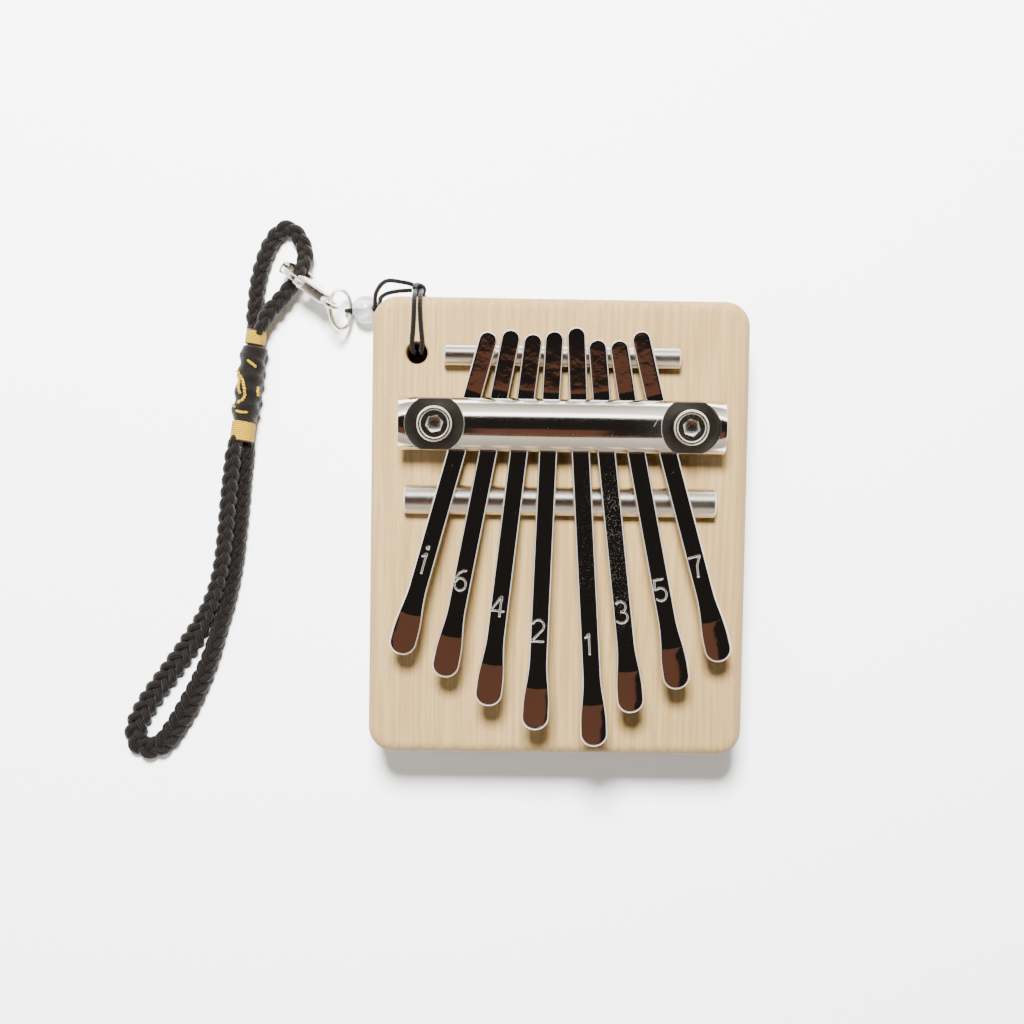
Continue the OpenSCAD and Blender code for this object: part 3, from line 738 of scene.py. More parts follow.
def metal_material(name, colour, roughness, dust, dusted=False, drawn=0.0, waves=0.0):
    """Polished metal, with drawn streaks along X; dust lies between the bar and the numbers."""
    _, tree, shader, place = new_material(name, Metallic=1.0)
    if dusted:
        split = add(tree, "SeparateXYZ", Vector=place.outputs["Object"])
        near = maths(tree, "ABSOLUTE", maths(tree, "ADD", split.outputs["Y"], 0.003))
        fall = add(tree, "MapRange", interpolation_type="SMOOTHSTEP", Value=near,
                   From_Min=0.024, From_Max=0.006, To_Min=0.15)
        dust = maths(tree, "MULTIPLY", fall.outputs[0], dust)
    scuffs = use_group(
        tree, bpy.data.node_groups["Metal scuffs"], Vector=place.outputs["Object"], Dust=dust)
    tone = ramp(tree, scuffs.outputs["Smear"], [
        (0.3, [c * 0.93 for c in colour]), (0.7, list(colour))])
    specked = mixed(tree, maths(tree, "MULTIPLY", scuffs.outputs["Specks"], 0.6), tone,
                    (0.75, 0.72, 0.68))
    tree.links.new(specked, shader.inputs["Base Color"])
    worn = maths(tree, "MULTIPLY_ADD", scuffs.outputs["Scratches"], 0.25, roughness)
    smeared = maths(tree, "MULTIPLY_ADD", scuffs.outputs["Smear"], roughness * 0.6, worn)
    dusty = maths(tree, "MULTIPLY_ADD", scuffs.outputs["Specks"], 0.35, smeared)
    tree.links.new(dusty, shader.inputs["Roughness"])
    height = maths(tree, "MULTIPLY_ADD", scuffs.outputs["Smear"], waves, scuffs.outputs["Height"])
    if drawn:
        streaks = noise_along(tree, place.outputs["Object"], (25, 2600, 2600), 3)
        height = maths(tree, "MULTIPLY_ADD", streaks, drawn, height)
    bump(tree, shader, height, 0.10, 0.00002)


def fibre_material(name, colour, gap_shade_colour, count, lean, roughness, sheen):
    """Thread or cord: count threads round it, which lean along its length; the colour has a painted sheen along the
    fibres and painted shade in the gaps.
    """
    _, tree, shader, place = new_material(
        name, Specular_IOR_Level=0.22, Sheen_Weight=sheen, Sheen_Roughness=0.4)
    threads = use_group(
        tree, bpy.data.node_groups["Threads"], Vector=place.outputs["UV"], Count=count, Lean=lean)
    # Painted sheen: the fibre streaks blend a shaded copy (0.6 times) and a lit copy (1.5 times) of the colour.
    lit = mixed(tree, threads.outputs["Fuzz and sheen"], [c * 0.6 for c in colour], [c * 1.5 for c in colour])
    # Painted shade: the gaps between the threads take the darker gap colour.
    base = mixed(tree, threads.outputs["Gap shade"], gap_shade_colour, lit)
    tree.links.new(base, shader.inputs["Base Color"])
    rough = maths(tree, "MULTIPLY_ADD", threads.outputs["Fuzz and sheen"], 0.25, roughness)
    tree.links.new(rough, shader.inputs["Roughness"])
    bump(tree, shader, threads.outputs["Height"], 0.5, 0.00008)


def bead_material(colour):
    _, tree, shader, place = new_material("Clear plastic", Transmission_Weight=0.85, IOR=1.49)
    cloud = add(tree, "TexNoise", Vector=place.outputs["Object"], Scale=500.0, Detail=3.0)
    tone = ramp(tree, cloud.outputs["Fac"], [
        (0.3, [c * 0.86 for c in colour]), (0.7, list(colour))])
    tree.links.new(tone, shader.inputs["Base Color"])
    rough = maths(tree, "MULTIPLY_ADD", cloud.outputs["Fac"], 0.25, 0.12)
    tree.links.new(rough, shader.inputs["Roughness"])
    bump(tree, shader, cloud.outputs["Fac"], 0.2, 0.0001)


def finish_with(piece, material, slot=None):
    piece.data.materials.clear()
    piece.data.materials.append(bpy.data.materials[material])
    if slot:
        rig.slot(piece, slot)
    return piece


# ---------- operators ----------

class MBIRA_OT_camera(bpy.types.Operator):
    """Add the camera, which looks down on the playing face"""

    bl_idname = "mbira.add_camera"
    bl_label = "Add camera"

    def execute(self, context):
        camera = bpy.data.cameras.new("camera")
        camera.lens = 53.26
        camera.sensor_width = 36
        eye = bpy.data.objects.new("camera", camera)
        context.scene.collection.objects.link(eye)
        eye.location = Vector((-14.33, 20.15, 318.21)) * MM
        eye.rotation_euler = (-0.05687, -0.01564, 0.01579)
        camera.clip_start = 0.01
        context.scene.camera = eye
        return {"FINISHED"}


class MBIRA_OT_finishes(bpy.types.Operator):
    """Make the shared node groups and every material"""

    bl_idname = "mbira.make_finishes"
    bl_label = "Make finishes"

    def execute(self, context):
        colours = context.scene.mbira_colours
        wood_grain_group()
        scuff_group()
        thread_group()
        wood_material(colours)
        metal_material("Bright nickel bar", tuple(colours.nickel), 0.10, 0.08, drawn=5.0,
                       waves=8.0)
        # Painted shade: the pocket floor's colour is 0.22 of the nickel, standing in for shade in the recess under a
        # screw head; its higher roughness is the real milled finish.
        metal_material("Milled pocket with painted shade", tuple(c * 0.22 for c in colours.nickel), 0.32, 0.10)
        metal_material("Nickel plate", tuple(colours.nickel), 0.20, 0.06)
        metal_material("Screw nickel", tuple(c * 0.85 for c in colours.nickel), 0.20, 0.18)
        metal_material("Drawn steel rod", tuple(c * 0.92 for c in colours.nickel), 0.24, 0.10,
                       drawn=6.0)
        for note, _, _, _, dust, _ in TINES:
            metal_material("Spring steel " + note, tuple(colours.steel), 0.05, dust, dusted=True,
                           waves=45.0)
        metal_material("Turned brass", tuple(colours.brass), 0.25, 0.05)
        black = tuple(colours.cord)
        # Painted shade: the gap colour, 0.3 times the black, darkens the gaps between threads.
        black_gap_shade = tuple(c * 0.3 for c in black)
        fibre_material("Waxed cord", black, black_gap_shade, 8.0, 90.0, 0.45, 0.05)
        fibre_material("Black braid", tuple(c * 1.5 for c in black), black_gap_shade,
                       float(context.scene.mbira_sizes.threads), 40.0, 0.55, 0.05)
        # The gold thread's gap colour is the red-brown: painted shade between the gold turns.
        fibre_material("Gold thread", tuple(colours.gold), tuple(colours.red_brown), 1.0, 12.0, 0.50,
                       0.0)
        # Red-brown for the faces at the ends of each gold band.
        fibre_material("Red-brown", tuple(colours.red_brown), black_gap_shade, 1.0, 1.0, 0.5, 0.2)
        bead_material(tuple(colours.bead))
        return {"FINISHED"}


class MBIRA_OT_cords(bpy.types.Operator):
    """Add the two strands of the thin cord and the braided strap's two loops"""

    bl_idname = "mbira.add_cords"
    bl_label = "Add cords"

    def execute(self, context):
        sizes = context.scene.mbira_sizes
        for side, route in (("left", LEFT_ROUTE), ("right", RIGHT_ROUTE)):
            piece, line = waxed_cord("thin_cord_" + side, route, sizes.cord)
            finish_with(piece, "Waxed cord", "cord_black")
            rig.ride(piece, "root")
            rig.replaces(piece, "cord_strand_" + side)
            piece["line"] = [value for point in line for value in point]
        throat = clasp_place() @ Vector((HOOK_X, 0, 0))

        def loop_width(point):
            squeeze = math.exp(-((point - throat).length / (2.4 * MM)) ** 2)
            bound = min(max((42 * MM - point.y) / (3.5 * MM), 0), 1)
            return 3.5 * MM * (1 - 0.22 * squeeze) * (1 - 0.36 * bound)

        def wrist_width(point):
            lower = min(max((-4 * MM - point.y) / (20 * MM), 0), 1)
            left = min(max((-70 * MM - point.x) / (6 * MM), 0), 1)
            bound = min(max((point.y - 13 * MM) / (3.5 * MM), 0), 1)
            return (3.6 + 1.2 * lower * left - 1.0 * bound) * MM
        for name, route, width, node in (
                ("strap_small_loop", TOP_ROUTE, loop_width, "strap_top_loop"),
                ("strap_long_loop", WRIST_ROUTE, wrist_width, "strap_wrist_loop")):
            piece, line = plait(name, route, width, sizes.strap, sizes.plait, sizes.threads)
            finish_with(piece, "Black braid", "braid_black")
            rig.ride(piece, "clasp")
            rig.replaces(piece, node)
            piece["line"] = [value for point in line for value in point]
        return {"FINISHED"}


def declare_cords(sizes):
    """Say how long and how thick each cord is, and what it ends in."""
    rows = (
        ("thin_cord_left", sizes.cord, "knot",
         ["cord_knot_turns", "clear_plastic_bead", "split_jump_ring"]),
        ("thin_cord_right", sizes.cord, "object", []),
        ("strap_small_loop", 3.2 * MM, "object",
         ["clasp_shell", "clasp_lever", "clasp_pin", "clasp_spring", "upper_winding",
          "wrapped_black_knot", "gold_thread_inlay"]),
        ("strap_long_loop", 3.6 * MM, "object", ["lower_winding"]),
    )
    for name, diameter, far_end, pieces in rows:
        piece = bpy.data.objects[name]
        flat = list(piece["line"])
        line = [tuple(flat[i:i + 3]) for i in range(0, len(flat), 3)]
        del piece["line"]
        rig.cord(
            piece, exit=line[0], length=length_of([Vector(p) for p in line]), diameter=diameter,
            far_end=far_end, stiffness="limp", lay="loose", path=line, with_pieces=pieces)


# The board's hole and groove for the thin cord, and the room round the rods in their seats.
CORD_HOLE = Vector((-28.6 * MM, 34.2 * MM, 0))
CORD_HOLE_R = 2.1 * MM
GROOVE_WIDTH = 3 * MM
GROOVE_DEPTH = 1.1 * MM
SEAT_ROOM = 0.03 * MM


class MBIRA_OT_board(bpy.types.Operator):
    """Add the wooden board with its rod seats, pockets and cord hole"""

    bl_idname = "mbira.add_board"
    bl_label = "Add board"

    def execute(self, context):
        sizes = context.scene.mbira_sizes
        low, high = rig.box("board")
        deselect()
        bpy.ops.mesh.primitive_cube_add(size=1, location=(low + high) / 2, scale=high - low)
        board = settle(named("sound_board"))
        bevel_edges(board, lambda e: abs(e.verts[0].co.z - e.verts[1].co.z) > 5 * MM,
                    sizes.corner, 12)
        bevel_edges(board, lambda e: abs(e.verts[0].co.z - e.verts[1].co.z) < 1e-6 and (
            len({round(f.normal.z, 2) for f in e.link_faces}) == 2), sizes.rim, 8)
        for rod in ("back_rod", "front_rod"):
            a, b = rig.box(rod)
            centre = (a + b) / 2
            boolean(board, rod_cutter(
                (b.z - a.z) / 2 + SEAT_ROOM, b.x - a.x + 0.2 * MM, centre, "X"))
        a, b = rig.box("screw_inserts")
        radius = (b.y - a.y) / 2
        for x in (a.x + radius, b.x - radius):
            boolean(board, rod_cutter(
                radius, high.z, (x, (a.y + b.y) / 2, high.z / 2 + a.z - 2 * MM)))
        boolean(board, rod_cutter(CORD_HOLE_R, 60 * MM, CORD_HOLE))
        flare = [(0, -0.7 * MM), (2.05 * MM, -0.7 * MM), (2.16 * MM, -0.35 * MM),
                 (2.45 * MM, 0.05 * MM), (2.45 * MM, 1 * MM), (0, 1 * MM)]
        worn = turned("cutter", flare, 48)
        worn.location = CORD_HOLE + Vector((0, 0, high.z))
        boolean(board, settle(worn))
        deselect()
        bpy.ops.mesh.primitive_cube_add(
            size=1, location=(CORD_HOLE.x, high.y, 0),
            scale=(GROOVE_WIDTH, 2 * (high.y - CORD_HOLE.y), 2 * GROOVE_DEPTH))
        boolean(board, settle(named("cutter")))
        smooth(weld(board), 30)
        finish_with(board, "Sanded pale wood", "board_wood")
        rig.ride(board, "root")
        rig.replaces(board, "board")
        finish_with(frame["nodes"]["screw_inserts"], "Turned brass")
        return {"FINISHED"}


class MBIRA_OT_rods(bpy.types.Operator):
    """Add the two steel rods with their turned ends"""

    bl_idname = "mbira.add_rods"
    bl_label = "Add rods"

    def execute(self, context):
        for node in ("back_rod", "front_rod"):
            low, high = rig.box(node)
            radius = (high.z - low.z) / 2
            half = (high.x - low.x) / 2
            soft = 0.45 * MM
            end = [(radius - soft + x, half - soft + y) for x, y in arc((0, 0), soft, 0, 90, 5)]
            face = [(radius * 0.3, half), (radius * 0.18, half - 0.15 * MM), (0, half - 0.2 * MM)]
            upper = [*end, *face]
            profile = [(r, -z) for r, z in reversed(upper)] + upper
            rod = turned(node.replace("rod", "steel_rod"), profile, 72)
            rod.rotation_euler = (0, math.pi / 2, 0)
            rod.location = (low + high) / 2
            settle(rod)
            smooth(rod, 30)
            finish_with(rod, "Drawn steel rod", "rod_steel")
            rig.ride(rod, "root")
            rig.replaces(rod, node)
        return {"FINISHED"}


# The press bar's screw pockets.
POCKET_R = 5.7 * MM
POCKET_FLOOR = 1.8 * MM
SCREW_HOLE_R = 2.15 * MM


class MBIRA_OT_bar(bpy.types.Operator):
    """Add the half-round press bar with its two screw pockets"""

    bl_idname = "mbira.add_bar"
    bl_label = "Add press bar"

    def execute(self, context):
        low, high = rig.box("press_bar")
        radius = (high.y - low.y) / 2
        middle = Vector((0, (low.y + high.y) / 2, low.z))
        bar = rod_cutter(radius, high.x - low.x, middle, "X", 160)
        named("half_round_bar")
        pick(bar)
        bpy.ops.object.mode_set(mode="EDIT")
        bpy.ops.mesh.select_all(action="SELECT")
        bpy.ops.mesh.bisect(plane_co=middle, plane_no=(0, 0, 1), use_fill=True, clear_inner=True)
        bpy.ops.object.mode_set(mode="OBJECT")
        a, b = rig.box("clamp_screws")
        head = (b.y - a.y) / 2
        floor = low.z + POCKET_FLOOR
        for x in (a.x + head, b.x - head):
            boolean(bar, rod_cutter(POCKET_R, 20 * MM, (x, middle.y, floor + 10 * MM), vertices=96))
            boolean(bar, rod_cutter(SCREW_HOLE_R, 40 * MM, (x, middle.y, floor), vertices=48))
        modifier = bar.modifiers.new("Bevel", "BEVEL")
        modifier.width = 0.14 * MM
        modifier.segments = 2
        modifier.limit_method = "ANGLE"
        modifier.angle_limit = math.radians(32)
        modifier.use_clamp_overlap = False
        pick(bar)
        bpy.ops.object.modifier_apply(modifier=modifier.name)
        smooth(weld(bar), 40)
        finish_with(bar, "Bright nickel bar", "bar_chrome")
        bar.data.materials.append(bpy.data.materials["Milled pocket with painted shade"])
        # The pocket floors take the darkened second material: painted shade in the recesses.
        for face in bar.data.polygons:
            reach = min(math.dist(face.center.xy, (x, middle.y)) for x in (a.x + head, b.x - head))
            if reach < POCKET_R * 0.99 and face.center.z < floor + 0.2 * MM:
                face.material_index = 1
        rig.ride(bar, "root")
        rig.replaces(bar, "press_bar")
        return {"FINISHED"}


# The clamp screws' head height and thread.
SCREW_HEAD = 4 * MM
THREAD_PITCH = 0.7 * MM
KEY_CORNER = 1.732 * MM


class MBIRA_OT_screws(bpy.types.Operator):
    """Add the two socket-head clamp screws"""

    bl_idname = "mbira.add_screws"
    bl_label = "Add clamp screws"

    def execute(self, context):
        low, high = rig.box("clamp_screws")
        head = (high.y - low.y) / 2
        top = high.z
        under = top - SCREW_HEAD
        shank = 2 * MM
        rim = 0.55 * MM
        rounding = [(head - rim + x, top - rim + y) for x, y in arc((0, 0), rim, 0, 90, 6)]
        thread = []
        z = under - 2.4 * MM
        while z > low.z + 0.5 * MM:
            thread += [(shank, z), (shank - 0.28 * MM, z - THREAD_PITCH / 2)]
            z -= THREAD_PITCH
        profile = [(0, low.z), (shank - 0.5 * MM, low.z), *reversed(thread), (shank, under - 2 * MM),
                   (shank, under), (head - 0.2 * MM, under), (head, under + 0.2 * MM), *rounding,
                   (2.75 * MM, top - 0.05 * MM), (2.6 * MM, top - 0.16 * MM),
                   (1.95 * MM, top - 0.16 * MM), (0, top - 0.16 * MM)]
        pieces = []
        for x, turn in ((low.x + head, 0.2), (high.x - head, 0.75)):
            screw = turned("screw", profile, 72)
            socket = [(0, -2 * MM), (1.3 * MM, -2 * MM), (KEY_CORNER, -1.8 * MM),
                      (KEY_CORNER, -0.3 * MM), (1.95 * MM, 0.3 * MM), (0, 0.3 * MM)]
            key = turned("cutter", socket, 6)
            key.location = (0, 0, top)
            key.rotation_euler = (0, 0, turn)
            boolean(screw, settle(key))
            screw.location = (x, (low.y + high.y) / 2, 0)
            pieces.append(settle(screw))
        screws = smooth(join("socket_head_screws", pieces), 30)
        finish_with(screws, "Screw nickel", "screw_steel")
        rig.ride(screws, "root")
        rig.replaces(screws, "clamp_screws")
        return {"FINISHED"}


# Heights and lengths of a tine, which its frame nodes share.
TINE_THICK = 1.0 * MM
SLOPE = math.tan(math.radians(8))
SPOON = 8.6 * MM
FLARE = 14 * MM
TAIL_BEND_Y = 27.4 * MM
TONGUE_BEND_Y = 13.4 * MM
BRIDGE_Y = 5.5 * MM
SLIDE_ROOM = 0.16 * MM
STAMP_LIFT = 0.04 * MM


class Tine:
    """Places along one tine, measured from its tail."""

    def __init__(self, note, sizes, tail_tilt=0.0, spoon_tilt=0.0):
        self.note = note
        self.tail_slope = math.tan(math.radians(8 + tail_tilt))
        self.droop = math.tan(math.radians(10 + spoon_tilt))
        tail_low, tail_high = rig.box(f"tine_{note}_shank")
        tip_low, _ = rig.box(f"tine_{note}_tongue")
        self.way = Vector(JOINTS["tune_" + note]["axis"]).normalized()
        self.side = Vector((-self.way.y, self.way.x, 0))
        self.flex = Vector(JOINTS["pluck_" + note]["pos_m"])
        self.tail_r = sizes.tine_width / 2
        self.tip_r = sizes.spoon_width / 2
        tail_y = tail_high.y - self.tail_r - self.tail_r * self.way.y
        tip_y = tip_low.y + self.tip_r + self.tip_r * self.way.y
        self.tail = self.at_height_of(tail_y)
        self.length = (tip_y - tail_y) / self.way.y
        self.floor = tail_low.z
        self.crown = sizes.spoon_crown
        self.edge = sizes.tine_edge
        self.tail_bend = (TAIL_BEND_Y - tail_y) / self.way.y
        self.bend = (TONGUE_BEND_Y - tail_y) / self.way.y
        self.crease = self.length - SPOON
        self.level = (self.tail_bend + 0.95 * MM, self.bend - 0.95 * MM)

    def at_height_of(self, y):
        """The point of the centre line with that Y."""
        return self.flex + self.way * ((y - self.flex.y) / self.way.y)

    def sharp_height(self, s):
        """The underside's height above the level stretch, with sharp bends."""
        if s < self.tail_bend + MM:
            return max(0, (self.tail_bend - s) * self.tail_slope + SLIDE_ROOM)
        if s < self.bend - MM:
            return 0
        up = max(0, (min(s, self.crease) - self.bend) * SLOPE + SLIDE_ROOM)
        return up - max(0, s - self.crease) * self.droop

    def height(self, s):
        """The underside's height with the bends rounded by the press tool."""
        if self.level[0] - 1e-7 < s < self.level[1] + 1e-7:
            return 0
        soft = 0.35 * MM
        return sum(self.sharp_height(s + soft * k / 3) for k in range(-3, 4)) / 7

    def half_width(self, s):
        """Half of the strip's width, and its outline's outward direction (along, across)."""
        if s < self.tail_r:
            c = (self.tail_r - s) / self.tail_r
            return self.tail_r * math.sqrt(max(0, 1 - c * c)), (-c, math.sqrt(max(0, 1 - c * c)))
        if s > self.length - self.tip_r:
            c = (s - self.length + self.tip_r) / self.tip_r
            return self.tip_r * math.sqrt(max(0, 1 - c * c)), (c, math.sqrt(max(0, 1 - c * c)))
        t = min(max((s - self.length + FLARE) / (FLARE - 4.5 * MM), 0), 1)
        return self.tail_r + (self.tip_r - self.tail_r) * t * t * (3 - 2 * t), (0, 1)

    def stations(self):
        """Where the cross-sections stand: close together at the ends and the crease."""
        cap = [self.tail_r * (1 - math.cos(math.pi / 2 * i / 9)) for i in range(10)]
        body, s = [], self.tail_r
        while s < self.length - self.tip_r:
            near = abs(s - self.crease) < 1.6 * MM
            s += 0.2 * MM if near else (0.5 * MM if s > self.crease else 0.9 * MM)
            body.append(s)
        body = [x for x in body if x < self.length - self.tip_r - 0.15 * MM
                and min(abs(x - y) for y in self.level) > 0.2 * MM]
        body = sorted([*body, *self.level])
        tip = [self.length - self.tip_r * (1 - math.sin(math.pi / 2 * i / 11)) for i in range(12)]
        return [*cap, *body, *tip]

    def point(self, s, across, above):
        """A point from its place along, across and above the underside's level stretch."""
        place = self.tail + self.way * s + self.side * across
        return Vector((place.x, place.y, self.floor + above))

    def top(self, s, across=0.0):
        """The upper face's height, with the low dome of the spoon."""
        half, _ = self.half_width(min(max(s, 0), self.length))
        t = min(max((s - self.crease + 0.5 * MM) / (2.2 * MM), 0), 1)
        fade = min(max((self.length - s) / (2.2 * MM), 0), 1)
        dome = self.crown * t * t * (3 - 2 * t) * math.sqrt(fade)
        inner = max(half - self.edge, 1e-6)
        share = max(0, 1 - (across / inner) ** 2)
        return self.height(s) + TINE_THICK + dome * share

    def solid(self, name):
        """The strip as one closed mesh with rounded edges."""
        stations = self.stations()
        edge = self.edge
        steps = 5
        upper = [(edge * (1 - math.cos(math.pi / 2 * k / steps)),
                  edge * (1 - math.sin(math.pi / 2 * k / steps))) for k in range(steps + 1)]
        middle = [-1 + 2 * k / 8 for k in range(9)]
        under = 0.12 * MM
        ring = [("top", 1, f) for f in middle[::-1]]
        ring += [("edge", -1, inset, drop) for inset, drop in reversed(upper[:-1])]
        ring += [("base", -1, 0, under), ("base", -1, under, 0), ("base", 1, under, 0),
                 ("base", 1, 0, under)]
        ring += [("edge", 1, inset, drop) for inset, drop in upper[:-1]]

        def place(row, column):
            s = stations[row]
            kind, sign, *rest = ring[column % len(ring)]
            half, (along, across) = self.half_width(s)
            inset = edge if kind == "top" else rest[0]
            y = max(half - across * inset, 0)
            x = s - along * inset
            if kind == "top":
                y *= rest[0]
                return self.point(x, y, self.top(x, y))
            if kind == "edge":
                return self.point(x, sign * y, self.top(x, sign * (half - edge)) - rest[1])
            return self.point(x, sign * y, self.height(x) + rest[1])
        return shaped_grid(name, len(stations) - 1, len(ring), place)


def ellipse(centre, reach, start, end, steps=14):
    """Points of an elliptic stroke, in shares of a number's height."""
    return [(centre[0] + reach[0] * x, centre[1] + reach[1] * y)
            for x, y in arc((0, 0), 1, start, end, steps)]


# Single strokes of the note numbers, in shares of their height, upright and centred.
NUMBERS = {
    "1": [[(-0.17, 0.30), (-0.06, 0.38), (0.03, 0.50), (0.03, -0.50)]],
    "2": [[*ellipse((0, 0.22), (0.27, 0.28), 168, -38), (-0.29, -0.5), (0.31, -0.5)]],
    "3": [[*ellipse((0.0, 0.25), (0.24, 0.25), 150, -88),
           *ellipse((0, -0.24), (0.29, 0.27), 88, -150)]],
    "4": [[(0.12, -0.5), (0.12, 0.5), (-0.31, -0.2), (0.33, -0.2)]],
    "5": [[(0.25, 0.5), (-0.19, 0.5), (-0.24, 0.06), *ellipse((0, -0.2), (0.28, 0.3), 118, -148)]],
    "6": [[(0.20, 0.46), (0.0, 0.44), (-0.17, 0.26), (-0.26, -0.02),
           *ellipse((0, -0.21), (0.27, 0.29), 168, -190, 20)]],
    "7": [[(-0.29, 0.5), (0.28, 0.5), (0.06, 0.08), (-0.03, -0.5)]],
}


def stamp_number(tine, strip, text, from_end, sizes):
    """Press the number's strokes into the strip."""
    centre = tine.length - from_end * MM
    left = -0.3 * MM
    strokes = list(NUMBERS[text])
    if tine.note == "c1high":
        strokes.append(ellipse((0.03, 0.78), (0.055, 0.055), 0, 350, 10))
    step = 0.12 * MM
    for stroke in strokes:
        line = []
        for x, y in stroke:
            along = centre - y * sizes.number_height
            place = tine.point(along, left + x * sizes.number_height, 0)
            place.z = tine.floor + tine.top(along) + STAMP_LIFT
            line.append(place)
        fine = evenly(line, step)
        reach = len(fine) - 1

        def radius(i, turn):
            end = min(i, reach - i) * step
            full = sizes.stamp
            return full * math.sqrt(max(0.15, 1 - max(0, 1 - end / full) ** 2))
        cutter = tube("cutter", fine, radius, 14, (0, 0, 1))
        boolean(strip, cutter, crossing=True)


class MBIRA_OT_tines(bpy.types.Operator):
    """Add the eight tines, each one strip that bends where it is plucked"""

    bl_idname = "mbira.add_tines"
    bl_label = "Add tines"

    def execute(self, context):
        sizes = context.scene.mbira_sizes
        for note, text, tail_tilt, spoon_tilt, dust, from_end in TINES:
            tine = Tine(note, sizes, tail_tilt, spoon_tilt)
            strip = tine.solid("tine_" + note)
            stamp_number(tine, strip, text, from_end, sizes)
            smooth(strip, 40)
            finish_with(strip, "Spring steel " + note, "tine_steel")
            bridge = tine.at_height_of(BRIDGE_Y)
            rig.blend(strip, "tine_" + note, "tongue_" + note,
                     start=bridge, end=tine.flex * 2 - bridge)
            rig.replaces(strip, f"tine_{note}_shank", f"tine_{note}_tongue")
        return {"FINISHED"}


class MBIRA_OT_knot_and_bead(bpy.types.Operator):
    """Add the thin cord's knot and the clear bead"""

    bl_idname = "mbira.add_knot_and_bead"
    bl_label = "Add knot and bead"

    def execute(self, context):
        sizes = context.scene.mbira_sizes
        low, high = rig.box("cord_knot")
        centre = (low + high) / 2
        turns = []
        for i in range(181):
            t = math.tau * i / 180
            reach = 0.62 + 0.30 * math.cos(3 * t)
            turns.append(centre + Vector((
                reach * math.cos(2 * t) * 1.15, reach * math.sin(2 * t) * 1.15,
                1.5 * math.sin(3 * t))) * MM)

        def radius(i, turn):
            return sizes.cord / 2 * (1.05 + 0.07 * diamond_weave(i, turn, 0.5))
        knot = smooth(tube("cord_knot_turns", turns, radius, 14), 60)
        finish_with(knot, "Waxed cord", "cord_black")
        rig.ride(knot, "root")
        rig.replaces(knot, "cord_knot")

        low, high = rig.box("clear_bead")
        centre = (low + high) / 2
        radius_out, bore, lip = 2.9 * MM, 1.25 * MM, 0.25 * MM
        start = math.degrees(math.asin((bore + lip) / radius_out))
        outer = arc((0, 0), radius_out, start - 90, 90 - start, 28)
        top = outer[-1][1]
        inner = [(bore, top - lip), (bore, 0), (bore, lip - top)]
        profile = [*outer, (bore + lip * 0.3, top - lip * 0.2), *inner,
                   (bore + lip * 0.3, lip * 0.2 - top), outer[0]]
        bead = turned("clear_plastic_bead", profile, 56)
        bead.rotation_euler = (0, math.radians(57), math.radians(9))
        bead.location = centre
        settle(bead)
        smooth(bead, 40)
        finish_with(bead, "Clear plastic", "bead_clear")
        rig.ride(bead, "root")
        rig.replaces(bead, "clear_bead")
        return {"FINISHED"}


# The clasp is drawn flat, with its eye at the origin and its hook along +X.
HOOK_X = 9.8 * MM
HOOK_R = 4 * MM
THROAT_R = 2.55 * MM
RIVET = Vector((6.9 * MM, 1.9 * MM, 0))
GATE_THICK = 1.2 * MM
CLASP_THICK = 2.5 * MM
SLOT = 1.4 * MM
RING_R = 4.05 * MM
RING_WIRE_R = 0.45 * MM


def clasp_place():
    """Turns the flat drawing into the clasp's place."""
    turn = (
        Matrix.Rotation(math.radians(140.5), 4, "Z") @ Matrix.Rotation(math.radians(24.5), 4, "Y")
        @ Matrix.Rotation(math.radians(75), 4, "X"))
    eye = Vector(JOINTS["clasp_gate_hinge"]["pos_m"]) - turn @ RIVET
    return Matrix.Translation(eye) @ turn


def plate(name, outline, thickness, rounding, holes=()):
    """A flat plate with rounded rims; its outlines are given already drawn in by the rounding."""
    deselect()
    curve = bpy.data.curves.new(name, "CURVE")
    curve.dimensions = "2D"
    curve.fill_mode = "BOTH"
    curve.extrude = thickness / 2 - rounding
    curve.bevel_depth = rounding
    curve.bevel_resolution = 4
    for points in (outline, *holes):
        spline = curve.splines.new("POLY")
        spline.points.add(len(points) - 1)
        for point, (x, y) in zip(spline.points, points):
            point.co = (x, y, 0, 1)
        spline.use_cyclic_u = True
    piece = bpy.data.objects.new(name, curve)
    bpy.context.scene.collection.objects.link(piece)
    pick(piece)
    bpy.ops.object.convert(target="MESH")
    return weld(named(name))


def to_place(piece):
    """Move a piece of the clasp from the flat drawing to its place."""
    pick(piece)
    piece.matrix_world = clasp_place()
    return settle(piece)


